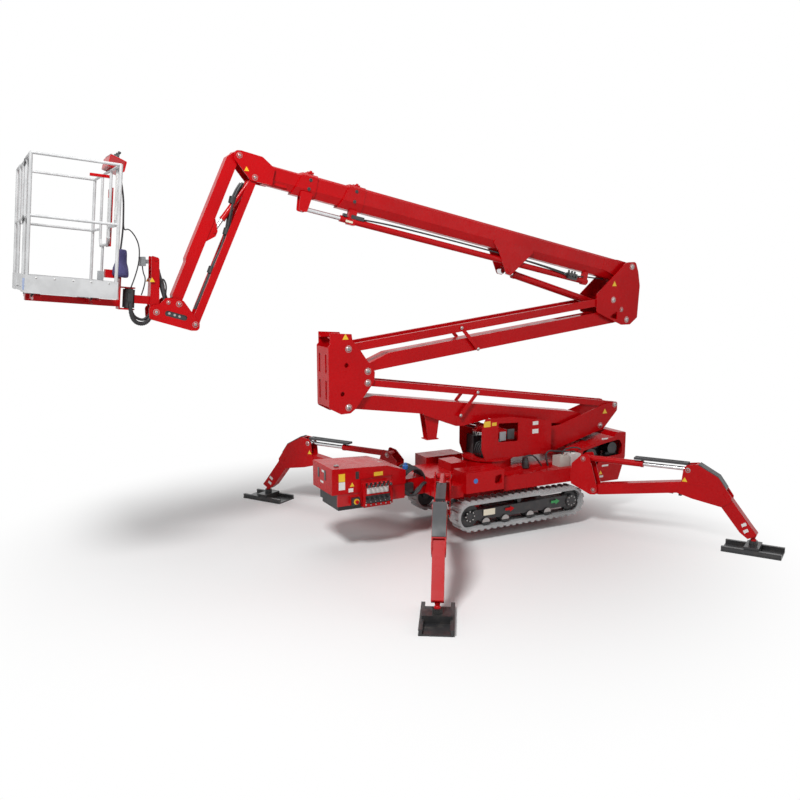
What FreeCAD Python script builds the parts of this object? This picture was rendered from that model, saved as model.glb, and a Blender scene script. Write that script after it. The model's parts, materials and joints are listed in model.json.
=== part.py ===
"""Tracked spider lift standing on its four outriggers, in millimetres.

Machine frame: the slew axis is the Z axis, the ground is z = 0, +X is forward
travel, and the boom lies in the plane y = 0 over the -X end. The finished model
is moved so that its origin is the middle of its footprint on the ground.
"""
import FreeCAD
import Part
import math
import os

Vector = FreeCAD.Vector
Placement = FreeCAD.Placement
Rotation = FreeCAD.Rotation

# Fits
PIN_FIT = 0.05
ROD_FIT = 0.4
SEAT_GAP = 0.3
SLIDE_GAP = 0.5
SIDE_GAP = 5.0

# Plates and pins of the two stacked parallelograms, as half widths from the boom plane
BEAM_HALF = 110.0
TIE_INNER = 116.0
TIE_OUTER = 150.0
PLATE_INNER = 158.0
PLATE_OUTER = 170.0
PIN_RADIUS = 26.0
PIN_HEAD_RADIUS = 34.0
BOOM_PIN_RADIUS = 20.8
PIN_HEAD = 10.0
BOSS_RADIUS = 48.0
STUB_REACH = 4.0

# Pin places in the boom plane (x, z)
TURRET_BEAM_PIN = (1662.0, 1136.0)
LINK_LOWER_PIN = (-1969.0, 1660.0)
LOWER_TIE_OFFSET = (238.0, 264.0)
LINK_UPPER_PIN = (-1729.0, 2055.0)
HEAD_BEAM_PIN = (2043.0, 2521.0)
UPPER_TIE_OFFSET = (-236.0, 262.0)
LOWER_LINK_SHARE = 0.407
UPPER_LINK_SHARE = 0.391
BOOM_PIVOT = (2103.0, 3207.0)
BOOM_CYLINDER_BASE = (1950.0, 2655.0)
BOOM_CYLINDER_EYE = (197.0, 3167.0)
LIFT_BASE = (753.0, 979.0)
LIFT_EYE = (-491.0, 1353.0)
BOOM_ANGLE = 11.85
BASKET_TILT = 5.4

# Pins past the boom's end: the jib's top from the pivot line, the rest from the pin before (x, z)
JIB_PIN_RISE = 31.8
JIB_FOOT_OFFSET = (-670.0, -1487.0)
JIB_TIE_OFFSET = (157.0, -212.0)
JIB_EYE_OFFSET = (-271.0, -767.0)
POST_PIVOT_OFFSET = (-228.0, -76.0)
LEVEL_BASE_OFFSET = (-105.0, 19.0)
LEVEL_EYE_OFFSET = (24.0, 516.0)
BASKET_FOOT_OFFSET = (-478.4, 165.7)

# Beams and ties of the parallelograms, heights from the pin line
BEAM_TOP = 152.0
BEAM_BOTTOM = -18.0
LOWER_TIE_DEPTH = 74.0
UPPER_TIE_DEPTH = 92.0
TROUGH_LENGTH = 1000.0
TROUGH_DEPTH = 92.0
BEAM_WALL = 8.0
MID_LINK_WIDTH = 44.0
MID_LINK_THICK = 7.0

# Cylinders: barrel radius, rod radius, eye radius, half widths of the barrel's and the rod's eye
LIFT_CYLINDER = (60.0, 40.0, 52.0, 96.0, 64.0)
BOOM_CYLINDER = (46.0, 30.0, 42.0, 54.0, 44.0)
JIB_CYLINDER = (30.0, 18.0, 28.0, 50.0, 34.0)
LEVEL_CYLINDER = (24.0, 14.0, 22.0, 40.0, 50.0)
LEG_CYLINDER = (38.0, 24.0, 34.0, 66.0, 50.0)
# Barrel length and the way that the rod runs in from the photographed pose
LIFT_STROKE = (980.0, 80.0)
BOOM_STROKE = (1660.0, 120.0)
JIB_STROKE = (540.0, 80.0)
LEVEL_STROKE = (330.0, 156.0)
LEG_STROKE = (720.0, 484.0)
GLAND_SHARE = 1.1
BOOM_CYLINDER_Y = 42.0

# Boom sections, heights from the pivot line
BOOM_TOP = 50.0
BOOM_BOTTOM = -208.0
BOOM_HALF = 98.0
BOOM_WALL = 7.0
BOOM_STEP = 13.0
BOOM_TAIL = -40.0
OUTER_NOSE = 4066.0
OUTER_COLLAR = 170.0
MID_TAIL = 350.0
MID_SHOWN = 548.0
MID_NOSE = OUTER_NOSE + MID_SHOWN
MID_COLLAR = 150.0
INNER_TAIL = 460.0
INNER_SHOWN = 371.0
HEAD_START = MID_NOSE + INNER_SHOWN
HEAD_LENGTH = 361.5
NOSE_SLANT = 110.0
EXTENSION_V = -322.0
EXTENSION_Y = -50.0
EXTENSION_RADIUS = 36.0
EXTENSION_ROD = 25.0
EXTENSION_REAR = 603.0
EXTENSION_FRONT = OUTER_NOSE + 59.0
EXTENSION_EYE = MID_NOSE - 49.0
BOOM_LUG_NEAR = -90.0
BOOM_LUG_FAR = 98.0
BOOM_LUG_THICK = 12.0

# Jib
JIB_HALF = 58.0
JIB_LEFT = -100.0
JIB_RIGHT = 22.0
JIB_TIE_DEPTH = 78.0
JIB_TIE_INNER = 64.0
JIB_TIE_OUTER = 82.0
JIB_PLATE_INNER = 90.0
JIB_PLATE_OUTER = 102.0
JIB_PIN_RADIUS = 20.0
LEVEL_PIN_RADIUS = 14.0

# Basket, in its own frame: x from the gate side, z from the floor's underside
BASKET_DEPTH = 768.0
BASKET_WIDTH = 1566.0
BASKET_HEIGHT = 1187.0
BASKET_TUBE = 17.0
RAIL_TUBE = 13.0
KICK_HEIGHT = 150.0
KICK_THICK = 4.0
FLOOR_THICK = 30.0
GATE_POST_Y = 344.0
GATE_POST_RISE = 3.0
GUARD_HALF = 250.0
GUARD_LOW = 490.0
GUARD_BEND = 60.0
GUARD_POST_Y = 90.0
SEAM_TURN = 45.0
GUARD_LAP = 11.0
WELD_BEAD = 1.0
ROTATOR_REACH = 237.0
ROTATOR_X = BASKET_DEPTH + ROTATOR_REACH
CROSS_BEAM_X = (90.0, BASKET_DEPTH - 178.0)
CROSS_BEAM_WIDTH = 70.0
ROTATOR_RADIUS = 58.0
ROTATOR_LOW = -118.0
ROTATOR_HIGH = 92.0
BRACKET_PLATE = 14.0

# Chassis
CHASSIS_HALF = 330.0
KEEL_HALF = 300.0
ARM_TOP = 735.0
ARM_LOW = 560.0
CHASSIS_BACK = -1010.0
CHASSIS_FRONT = 1120.0
CHASSIS_LOW = 520.0
CHASSIS_HIGH = 770.0
RING_RADIUS = 300.0
RING_GAP = 24.0
DECK_GAP = 10.0
TURRET_FLOOR = 878.0

# Tracks
TRACK_INNER = 415.0
TRACK_WIDTH = 205.0
TRACK_RADIUS = 166.0
TRACK_AXLE_Z = 320.0
IDLER_X = -617.0
SPROCKET_X = 877.0
BELT_THICK = 26.0
LUG_HEIGHT = 17.0
LUG_COUNT = 44

# Outriggers, in a leg frame: r outwards from the hinge, s across, z up
LEG_HINGE = (1100.0, 774.0, 490.0)
LEG_AZIMUTH = 58.3
LEG_BASE = (-140.0, 869.0)
LEG_EYE = (1112.0, 877.0)
LEG_BALL = (1861.0, 135.0)
LEG_HALF = 60.0
LEG_PLATE = 10.0
BRACKET_BACK = -285.0
BRACKET_INNER = 78.0
BRACKET_OUTER = 90.0
LEG_PIN_RADIUS = 20.0
GUARD_LENGTH = 638.0
GUARD_WIDTH = 100.0
GUARD_RISE = 54.0
GUARD_DEPTH = 26.0
PAD_LENGTH = 640.0
PAD_WIDTH = 324.0
PAD_PLATE = 16.0
PAD_RAIL = 52.0
BALL_RADIUS = 34.0

# Turret
TURRET_HALF = 262.0
TURRET_WALL = 10.0
TURRET_FRONT = -190.0
TURRET_BACK = 790.0

# Console housing, side boxes and engine bay
OPENING_DEPTH = 70.0
CONSOLE_BACK = -1305.0
CONSOLE_HALF = 280.0
CONSOLE_WALL = 8.0
ENGINE_HALF = 400.0
ENGINE_WALL = 10.0
ENGINE_CYLINDER = (1400.0, 780.0)
AIR_FILTER = (1730.0, 860.0)
FIN_REACH = 320.0
FIN_RADIUS = 96.0
FIN_COUNT = 6
FIN_PITCH = 24.0
FIN_THICK = 8.0
HOSE_RIBS = 7


def added(point, offset):
    """A pin place moved by an offset."""
    return (point[0] + offset[0], point[1] + offset[1])


def boom_place(u, v):
    """Place in the boom plane from the reach along the boom and the rise over its pivot line."""
    angle = math.radians(BOOM_ANGLE)
    return added(BOOM_PIVOT, (v * math.sin(angle) - u * math.cos(angle), u * math.sin(angle) + v * math.cos(angle)))


TURRET_TIE_PIN = added(TURRET_BEAM_PIN, LOWER_TIE_OFFSET)
LINK_LOWER_TIE_PIN = added(LINK_LOWER_PIN, LOWER_TIE_OFFSET)
LINK_UPPER_TIE_PIN = added(LINK_UPPER_PIN, UPPER_TIE_OFFSET)
HEAD_TIE_PIN = added(HEAD_BEAM_PIN, UPPER_TIE_OFFSET)
JIB_TOP = boom_place(HEAD_START + HEAD_LENGTH, JIB_PIN_RISE)
JIB_FOOT = added(JIB_TOP, JIB_FOOT_OFFSET)
JIB_EYE = added(JIB_TOP, JIB_EYE_OFFSET)
POST_PIVOT = added(JIB_FOOT, POST_PIVOT_OFFSET)
LEVEL_BASE = added(JIB_FOOT, LEVEL_BASE_OFFSET)
LEVEL_EYE = added(POST_PIVOT, LEVEL_EYE_OFFSET)
BASKET_FOOT = added(POST_PIVOT, BASKET_FOOT_OFFSET)
BASKET_CORNER = added(BASKET_FOOT, (
    -BASKET_DEPTH * math.cos(math.radians(BASKET_TILT)),
    BASKET_DEPTH * math.sin(math.radians(BASKET_TILT)),
))
JIB_TOP_TIE_PIN = added(JIB_TOP, JIB_TIE_OFFSET)
JIB_FOOT_TIE_PIN = added(JIB_FOOT, JIB_TIE_OFFSET)


def between(first, second, share):
    """The place at a share of the way from one pin to another."""
    return (first[0] + (second[0] - first[0]) * share, first[1] + (second[1] - first[1]) * share)


LOWER_LINK_FOOT = between(LINK_LOWER_PIN, TURRET_BEAM_PIN, LOWER_LINK_SHARE)
LOWER_LINK_TOP = added(LOWER_LINK_FOOT, LOWER_TIE_OFFSET)
UPPER_LINK_FOOT = between(LINK_UPPER_PIN, HEAD_BEAM_PIN, UPPER_LINK_SHARE)
UPPER_LINK_TOP = added(UPPER_LINK_FOOT, UPPER_TIE_OFFSET)


POST_RADIUS = BASKET_TUBE * 0.9
GATE_HINGE_Y = -GATE_POST_Y + POST_RADIUS + RAIL_TUBE + SEAT_GAP


def length_between(first, second):
    """Distance between two places in the boom plane."""
    return math.hypot(second[0] - first[0], second[1] - first[1])


def outline(corners, y):
    """Closed wire in the plane at y from corners (x, z, rounding radius)."""
    edges = []
    ends = []
    for index, (x, z, radius) in enumerate(corners):
        here = Vector(x, y, z)
        before = Vector(corners[index - 1][0], y, corners[index - 1][1])
        after_corner = corners[(index + 1) % len(corners)]
        after = Vector(after_corner[0], y, after_corner[1])
        into = (before - here).normalize()
        away = (after - here).normalize()
        if radius == 0:
            ends.append((here, here))
            continue
        half = into.getAngle(away) / 2
        reach = radius / math.tan(half)
        centre = here + (into + away).normalize() * (radius / math.sin(half))
        middle = centre + (here - centre).normalize() * radius
        start = here + into * reach
        finish = here + away * reach
        edges.append(Part.Arc(start, middle, finish).toShape())
        ends.append((start, finish))
    for index in range(len(ends)):
        start = ends[index - 1][1]
        finish = ends[index][0]
        if start.distanceToPoint(finish) > 1e-6:
            edges.append(Part.LineSegment(start, finish).toShape())
    return Part.Wire(Part.__sortEdges__(edges))


def slab(corners, low, high):
    """Flat piece in the boom plane's direction, from y = low to y = high."""
    return Part.Face(outline(corners, low)).extrude(Vector(0, high - low, 0))


def both_sides(shape):
    """A piece and its mirror image over the boom plane."""
    return [shape, shape.mirror(Vector(0, 0, 0), Vector(0, 1, 0))]


def paired_slabs(corners, inner, outer):
    """Two equal plates at the same distance on both sides of the boom plane."""
    return both_sides(slab(corners, inner, outer))


def block(x0, x1, y0, y1, z0, z1):
    """Box between two corners."""
    return Part.makeBox(x1 - x0, y1 - y0, z1 - z0, Vector(x0, y0, z0))


def cross_pin(place, radius, low, high):
    """Cylinder across the boom plane at a pin place."""
    return Part.makeCylinder(radius, high - low, Vector(place[0], low, place[1]), Vector(0, 1, 0))


def headed_pin(place, radius, half):
    """Pin through both plates with a low head on each side."""
    shaft = cross_pin(place, radius, -half - PIN_HEAD, half + PIN_HEAD)
    heads = [
        cross_pin(place, radius * PIN_HEAD_RADIUS / PIN_RADIUS, half, half + PIN_HEAD * 0.6),
        cross_pin(place, radius * PIN_HEAD_RADIUS / PIN_RADIUS, -half - PIN_HEAD * 0.6, -half),
    ]
    return shaft.multiFuse(heads)


def tube(start, finish, radius):
    """Round bar between two points in space."""
    axis = finish - start
    return Part.makeCylinder(radius, axis.Length, start, axis)


def placed_along(shape, left, right):
    """A piece drawn along +X from the origin, laid from one pin towards another."""
    angle = math.degrees(math.atan2(right[1] - left[1], right[0] - left[0]))
    turned = shape.copy()
    turned.Placement = Placement(Vector(left[0], 0, left[1]), Rotation(Vector(0, -1, 0), angle))
    return turned


def fused(shapes):
    """One clean shape from touching or overlapping pieces."""
    return shapes[0].multiFuse(shapes[1:]).removeSplitter()


def parallelogram_beam(left, right, extra_slabs, pocket):
    """Box beam on the pin line, with slim ends that turn between the plates."""
    length = length_between(left, right)
    body = [
        (-BOSS_RADIUS, -BOSS_RADIUS, 40.0),
        (-BOSS_RADIUS, BOSS_RADIUS, 40.0),
        (330.0, BEAM_TOP, 60.0),
        (length - 400.0, BEAM_TOP, 60.0),
        (length + BOSS_RADIUS, BOSS_RADIUS, 40.0),
        (length + BOSS_RADIUS, -BOSS_RADIUS, 40.0),
        (length - 130.0, BEAM_BOTTOM, 0.0),
        (130.0, BEAM_BOTTOM, 0.0),
    ]
    beam = slab(body, -BEAM_HALF, BEAM_HALF)
    spacer = PLATE_INNER - SLIDE_GAP
    pieces = [beam] + extra_slabs
    for u in (0.0, length):
        pieces.append(cross_pin((u, 0.0), BOSS_RADIUS - 8.0, -spacer, spacer))
    solid = fused(pieces)
    holes = [cross_pin((u, 0.0), PIN_RADIUS + PIN_FIT, -spacer - 1, spacer + 1) for u in (0.0, length)]
    solid = solid.cut(Part.Compound(holes + pocket))
    return placed_along(solid, left, right)


def make_lower_beam():
    """Lower beam with the lift cylinder's lugs and the rest foot below it."""
    run = (LIFT_EYE[0] - LINK_LOWER_PIN[0], LIFT_EYE[1] - LINK_LOWER_PIN[1])
    angle = math.atan2(TURRET_BEAM_PIN[1] - LINK_LOWER_PIN[1], TURRET_BEAM_PIN[0] - LINK_LOWER_PIN[0])
    eye_u = run[0] * math.cos(angle) + run[1] * math.sin(angle)
    eye_v = -run[0] * math.sin(angle) + run[1] * math.cos(angle)
    lug_inner = LIFT_CYLINDER[4] + SIDE_GAP
    lug = [
        (eye_u - 500, BEAM_BOTTOM + 30, 0.0),
        (eye_u - 490, BEAM_BOTTOM - 14, 0.0),
        (eye_u - 30, eye_v - 46, 30.0),
        (eye_u + 60, eye_v - 40, 40.0),
        (eye_u + 420, BEAM_BOTTOM - 6, 60.0),
        (eye_u + 480, BEAM_BOTTOM + 30, 0.0),
    ]
    lugs = paired_slabs(lug, lug_inner, BEAM_HALF)
    foot = [
        (eye_u - 470, BEAM_BOTTOM + 20, 0.0),
        (eye_u - 250, BEAM_BOTTOM + 20, 0.0),
        (eye_u - 250, eye_v - 220, 0.0),
        (eye_u - 360, eye_v - 238, 0.0),
    ]
    sole = [
        (eye_u - 384, eye_v - 246, 0.0),
        (eye_u - 226, eye_v - 224, 0.0),
        (eye_u - 224, eye_v - 212, 0.0),
        (eye_u - 382, eye_v - 234, 0.0),
    ]
    feet = paired_slabs(foot, 52.0, 62.0) + [slab(sole, -70.0, 70.0)]
    pocket = block(eye_u - 190, eye_u + 1250, -lug_inner, lug_inner, -200, BEAM_TOP - 34)
    pins = [cross_pin((eye_u, eye_v), PIN_RADIUS, side, side + 40) for side in (lug_inner + 4, -lug_inner - 44)]
    return parallelogram_beam(LINK_LOWER_PIN, TURRET_BEAM_PIN, lugs + feet + pins, [pocket])


def make_upper_beam():
    """Upper beam, with a trough at the head end for the lowered boom cylinder."""
    length = length_between(LINK_UPPER_PIN, HEAD_BEAM_PIN)
    reach = BOOM_CYLINDER[0] * GLAND_SHARE + SIDE_GAP
    trough = block(length - TROUGH_LENGTH, length + BOSS_RADIUS + 1, BOOM_CYLINDER_Y - reach,
                   min(BOOM_CYLINDER_Y + reach, BEAM_HALF - BEAM_WALL), BEAM_TOP - TROUGH_DEPTH, BEAM_TOP + 50)
    return parallelogram_beam(LINK_UPPER_PIN, HEAD_BEAM_PIN, [], [trough])


def make_tie(left, right, depth):
    """Two bars beside the beam, drilled at both ends."""
    length = length_between(left, right)
    reach = depth * 0.56
    bar = [
        (-reach, -depth / 2, reach * 0.8),
        (-reach, depth / 2, reach * 0.8),
        (length + reach, depth / 2, reach * 0.8),
        (length + reach, -depth / 2, reach * 0.8),
    ]
    solid = slab(bar, TIE_INNER, TIE_OUTER)
    for u in (0.0, length):
        solid = solid.cut(cross_pin((u, 0.0), PIN_RADIUS + PIN_FIT, TIE_INNER - 1, TIE_OUTER + 1))
    return Part.Compound([placed_along(one, left, right) for one in both_sides(solid)])


def make_mid_links(foot, top):
    """Short links that hold beam and ties parallel half way along."""
    length = length_between(foot, top)
    half = MID_LINK_WIDTH / 2
    link = [
        (-half, -half, half * 0.9),
        (-half, half, half * 0.9),
        (length + half, half, half * 0.9),
        (length + half, -half, half * 0.9),
    ]
    inner = TIE_OUTER + SLIDE_GAP
    bar = slab(link, inner, inner + MID_LINK_THICK)
    boss = cross_pin((0.0, 0.0), half * 0.7, BEAM_HALF + SLIDE_GAP, inner + MID_LINK_THICK + 6)
    stud = cross_pin((length, 0.0), half * 0.5, inner, inner + MID_LINK_THICK + 6)
    solid = fused([bar, boss, stud])
    return Part.Compound([placed_along(one, foot, top) for one in both_sides(solid)])


def make_link_plate():
    """Front knuckle: two side plates, a slotted front web and four pins."""
    side = [
        (-2205.0, 1665.0, 40.0),
        (-2205.0, 2350.0, 12.0),
        (-2184.0, 2372.0, 0.0),
        (-2184.0, 2498.0, 8.0),
        (-1925.0, 2480.0, 8.0),
        (-1915.0, 2410.0, 0.0),
        (-1815.0, 2290.0, 20.0),
        (-1640.0, 2040.0, 30.0),
        (-1650.0, 1930.0, 20.0),
        (-1880.0, 1640.0, 20.0),
        (-1945.0, 1592.0, 30.0),
        (-2060.0, 1588.0, 30.0),
    ]
    plates = paired_slabs(side, PLATE_INNER, PLATE_OUTER)
    windows = [
        cross_pin(place, 26.0, -PLATE_OUTER - 1, PLATE_OUTER + 1)
        for place in ((-1990.0, 2135.0), (-2040.0, 1815.0))
    ]
    web = block(-2205, -2191, -PLATE_OUTER + 8, PLATE_OUTER - 8, 1680, 2340)
    slots = []
    for low in (1757.0, 2051.0):
        for side_y in (-110.0, 70.0):
            slots.append(block(-2210, -2186, side_y, side_y + 40, low, low + 208))
    saddle = block(-2184, LINK_UPPER_TIE_PIN[0], PLATE_INNER - 60, PLATE_INNER + 1, 2440, 2452)
    solid = fused(plates + [web] + both_sides(saddle)).cut(Part.Compound(windows + slots))
    places = (LINK_LOWER_PIN, LINK_LOWER_TIE_PIN, LINK_UPPER_PIN, LINK_UPPER_TIE_PIN)
    return fused([solid] + [headed_pin(place, PIN_RADIUS, PLATE_OUTER) for place in places])


def make_head_plate():
    """Rear knuckle that carries the boom: side plates, rear web and pins.

    The tie's pins are short, one in each plate, so that the boom cylinder swings up between them.
    """
    side = [
        (2035.0, 3266.0, 20.0),
        (2165.0, 3270.0, 50.0),
        (2215.0, 3140.0, 40.0),
        (2250.0, 2960.0, 20.0),
        (2225.0, 2545.0, 20.0),
        (2105.0, 2455.0, 30.0),
        (1960.0, 2455.0, 30.0),
        (1540.0, 2630.0, 30.0),
        (1530.0, 2860.0, 30.0),
        (1990.0, 3250.0, 0.0),
    ]
    plates = paired_slabs(side, PLATE_INNER, PLATE_OUTER)
    web = [(2222.0, 2975.0, 0.0), (2240.0, 2960.0, 0.0), (2216.0, 2560.0, 0.0), (2204.0, 2560.0, 0.0)]
    rear = slab(web, -PLATE_INNER, PLATE_INNER)
    window = slab([(1745.0, 2560.0, 12.0), (1880.0, 2640.0, 12.0), (1880.0, 2530.0, 12.0)], -200, 200)
    solid = fused(plates + [rear]).cut(window)
    pins = [headed_pin(place, PIN_RADIUS, PLATE_OUTER) for place in (HEAD_BEAM_PIN, BOOM_PIVOT)]
    pins.append(headed_pin(BOOM_CYLINDER_BASE, BOOM_PIN_RADIUS, PLATE_OUTER))
    stub_end = TIE_INNER - STUB_REACH
    middle = cross_pin(HEAD_TIE_PIN, PIN_HEAD_RADIUS, -stub_end, stub_end)
    pins.append(headed_pin(HEAD_TIE_PIN, PIN_RADIUS, PLATE_OUTER).cut(middle))
    return fused([solid] + pins)


def cylinder_parts(base, eye, sizes, stroke, pin_radius):
    """Barrel and rod of a hydraulic cylinder between two pins in the boom plane."""
    barrel_radius, rod_radius, eye_radius, base_half, eye_half = sizes
    barrel_length, way_in = stroke
    length = length_between(base, eye)
    start = eye_radius * 0.8
    along = Vector(1, 0, 0)
    gland_length = barrel_radius * 0.8
    barrel = Part.makeCylinder(barrel_radius, barrel_length - start, Vector(start, 0, 0), along)
    gland = Part.makeCylinder(barrel_radius * GLAND_SHARE, gland_length,
                              Vector(barrel_length - gland_length, 0, 0), along)
    base_eye = cross_pin((0.0, 0.0), eye_radius, -base_half, base_half)
    bore_start = eye_radius + 12.0
    bore = Part.makeCylinder(rod_radius + ROD_FIT, barrel_length, Vector(bore_start, 0, 0), along)
    hole = cross_pin((0.0, 0.0), pin_radius + PIN_FIT, -base_half - 1, base_half + 1)
    barrel = fused([barrel, gland, base_eye]).cut(Part.Compound([bore, hole]))
    rod_start = bore_start + way_in
    rod = Part.makeCylinder(rod_radius, length - rod_start, Vector(rod_start, 0, 0), along)
    rod_eye = cross_pin((length, 0.0), eye_radius, -eye_half, eye_half)
    return barrel, fused([rod, rod_eye])


def boom_frame():
    """Placement of the boom: u from the pivot along the boom, v up."""
    return Placement(Vector(BOOM_PIVOT[0], 0, BOOM_PIVOT[1]), Rotation(Vector(0, 1, 0), BOOM_ANGLE))


def boom_point(place):
    """A place in the boom plane as (u, v) in the boom's frame."""
    angle = math.radians(BOOM_ANGLE)
    dx = place[0] - BOOM_PIVOT[0]
    dz = place[1] - BOOM_PIVOT[1]
    return (-dx * math.cos(angle) + dz * math.sin(angle), dx * math.sin(angle) + dz * math.cos(angle))


def boom_section(inset):
    """Six-sided boom section (y, v) with tapered lower sides, set in by an offset."""
    return [
        (BOOM_HALF - inset, BOOM_TOP - 26.0 - inset * 0.6),
        (BOOM_HALF - 26.0 - inset * 0.6, BOOM_TOP - inset),
        (-BOOM_HALF + 26.0 + inset * 0.6, BOOM_TOP - inset),
        (-BOOM_HALF + inset, BOOM_TOP - 26.0 - inset * 0.6),
        (-BOOM_HALF + inset, -122.0 + inset * 0.3),
        (-56.0 + inset * 0.7, BOOM_BOTTOM + inset),
        (56.0 - inset * 0.7, BOOM_BOTTOM + inset),
        (BOOM_HALF - inset, -122.0 + inset * 0.3),
    ]


def boom_tube(inset, start, finish):
    """Solid boom section from u = start to u = finish."""
    points = [Vector(-start, y, v) for y, v in boom_section(inset)]
    face = Part.Face(Part.makePolygon(points + points[:1]))
    return face.extrude(Vector(start - finish, 0, 0))


def slanted_end(u, lean):
    """Cutting block that slopes a section's nose, the lower edge reaching further."""
    corners = [
        (-u - lean, BOOM_TOP + 80, 0.0),
        (-u - lean - 900, BOOM_TOP + 80, 0.0),
        (-u - lean - 900, BOOM_BOTTOM - 80, 0.0),
        (-u - lean - NOSE_SLANT * 1.2, BOOM_BOTTOM - 80, 0.0),
    ]
    return slab(corners, -300, 300)


def boom_plate(corners, inner, outer):
    """Two plates on the boom, corners given as (u, v, radius)."""
    return paired_slabs([(-u, v, radius) for u, v, radius in corners], inner, outer)


def make_boom_outer():
    """Outer boom with its pivot boss, nose collar and cylinder lugs."""
    shell = boom_tube(0.0, 60.0, OUTER_NOSE + NOSE_SLANT)
    collar = boom_tube(-7.0, OUTER_NOSE - OUTER_COLLAR, OUTER_NOSE + NOSE_SLANT + 40)
    ear = [
        (BOOM_TAIL, -60.0, 30.0),
        (BOOM_TAIL, 46.0, 30.0),
        (200.0, BOOM_TOP, 0.0),
        (420.0, BOOM_TOP - 30, 0.0),
        (420.0, BOOM_BOTTOM + 90, 0.0),
        (90.0, BOOM_BOTTOM + 30, 30.0),
    ]
    ears = boom_plate(ear, BOOM_HALF - 14, BOOM_HALF + 4)
    boss = cross_pin((0.0, 0.0), BOSS_RADIUS - 6, -PLATE_INNER + SLIDE_GAP, PLATE_INNER - SLIDE_GAP)
    eye_u, eye_v = boom_point(BOOM_CYLINDER_EYE)
    lug = [
        (eye_u - 340, BOOM_BOTTOM + 100, 30.0),
        (eye_u + 330, BOOM_BOTTOM + 100, 30.0),
        (eye_u + 190, BOOM_BOTTOM - 20, 40.0),
        (eye_u + 20, eye_v - 44, 30.0),
        (eye_u - 52, eye_v - 44, 30.0),
        (eye_u - 250, BOOM_BOTTOM - 20, 40.0),
    ]
    lug_corners = [(-u, v, radius) for u, v, radius in lug]
    lugs = [
        slab(lug_corners, BOOM_LUG_NEAR - BOOM_LUG_THICK, BOOM_LUG_NEAR),
        slab(lug_corners, BOOM_LUG_FAR, BOOM_LUG_FAR + BOOM_LUG_THICK),
        block(-eye_u - 240, -eye_u + 240, BOOM_HALF - 30, BOOM_LUG_FAR + 2, BOOM_BOTTOM + 88,
              BOOM_BOTTOM + 100),
    ]
    studs = [
        cross_pin((-eye_u, eye_v), BOOM_PIN_RADIUS, BOOM_LUG_NEAR - BOOM_LUG_THICK - 8, BOOM_LUG_NEAR - 1),
        cross_pin((-eye_u, eye_v), BOOM_PIN_RADIUS, BOOM_LUG_FAR + 1, BOOM_LUG_FAR + BOOM_LUG_THICK + 1),
    ]
    solid = fused([shell, collar, boss] + ears + lugs + studs)
    cavity = boom_tube(BOOM_WALL, 260.0, OUTER_NOSE - OUTER_COLLAR)
    mouth = boom_tube(BOOM_STEP - SLIDE_GAP, OUTER_NOSE - OUTER_COLLAR - 1, OUTER_NOSE + 400)
    pivot_hole = cross_pin((0.0, 0.0), PIN_RADIUS + PIN_FIT, -PLATE_INNER, PLATE_INNER)
    solid = solid.cut(Part.Compound([cavity, mouth, pivot_hole, slanted_end(OUTER_NOSE, 0.0)]))
    rear = Vector(-EXTENSION_REAR, EXTENSION_Y, EXTENSION_V)
    front = Vector(-EXTENSION_FRONT, EXTENSION_Y, EXTENSION_V)
    barrel = tube(rear, front, EXTENSION_RADIUS)
    bore = tube(rear - Vector(60, 0, 0), front - Vector(1, 0, 0), EXTENSION_ROD + ROD_FIT)
    hangers = []
    for start, wide in ((EXTENSION_REAR + 20, 60.0), (OUTER_NOSE - 120, 90.0)):
        low = EXTENSION_V - EXTENSION_RADIUS - 8
        hangers.append(block(-start - wide, -start, EXTENSION_Y - 34, EXTENSION_Y + 34, low, BOOM_BOTTOM + 4))
    barrel = fused([barrel] + hangers).cut(bore)
    solid = fused([solid, barrel])
    solid.Placement = boom_frame()
    return solid


def make_boom_mid():
    """Middle boom section with the extension rod's lug."""
    inset = BOOM_STEP
    shell = boom_tube(inset, MID_TAIL, MID_NOSE + NOSE_SLANT)
    collar = boom_tube(inset - 9.0, MID_NOSE - MID_COLLAR, MID_NOSE + NOSE_SLANT + 40)
    ear = [
        (EXTENSION_EYE - 74, BOOM_BOTTOM + 60, 20.0),
        (EXTENSION_EYE + 70, BOOM_BOTTOM + 60, 20.0),
        (EXTENSION_EYE + 50, EXTENSION_V - 34, 24.0),
        (EXTENSION_EYE - 40, EXTENSION_V - 34, 24.0),
    ]
    ear_inner = 34.0
    ear_outer = 46.0
    ears = boom_plate(ear, ear_inner, ear_outer)
    for one in ears:
        one.translate(Vector(0, EXTENSION_Y, 0))
    stop = block(-EXTENSION_EYE - 60, -EXTENSION_EYE + 60, EXTENSION_Y - ear_outer, EXTENSION_Y + ear_outer,
                 BOOM_BOTTOM + 12, BOOM_BOTTOM + 24)
    solid = fused([shell, collar, stop] + ears)
    cavity = boom_tube(inset + BOOM_WALL, MID_TAIL - 1, MID_NOSE - MID_COLLAR)
    mouth = boom_tube(2 * BOOM_STEP - SLIDE_GAP, MID_NOSE - MID_COLLAR - 1, MID_NOSE + 400)
    solid = solid.cut(Part.Compound([cavity, mouth, slanted_end(MID_NOSE, 0.0)]))
    solid.Placement = boom_frame()
    return solid


def make_extension_rod():
    """Chrome rod of the extension cylinder, pinned to the middle section."""
    rod = tube(Vector(-EXTENSION_REAR - 70, EXTENSION_Y, EXTENSION_V),
               Vector(-EXTENSION_EYE, EXTENSION_Y, EXTENSION_V), EXTENSION_ROD)
    eye_half = 34.0 - SEAT_GAP
    eye = cross_pin((-EXTENSION_EYE, EXTENSION_V), 30.0, EXTENSION_Y - eye_half, EXTENSION_Y + eye_half)
    solid = fused([rod, eye])
    solid.Placement = boom_frame()
    return solid


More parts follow.
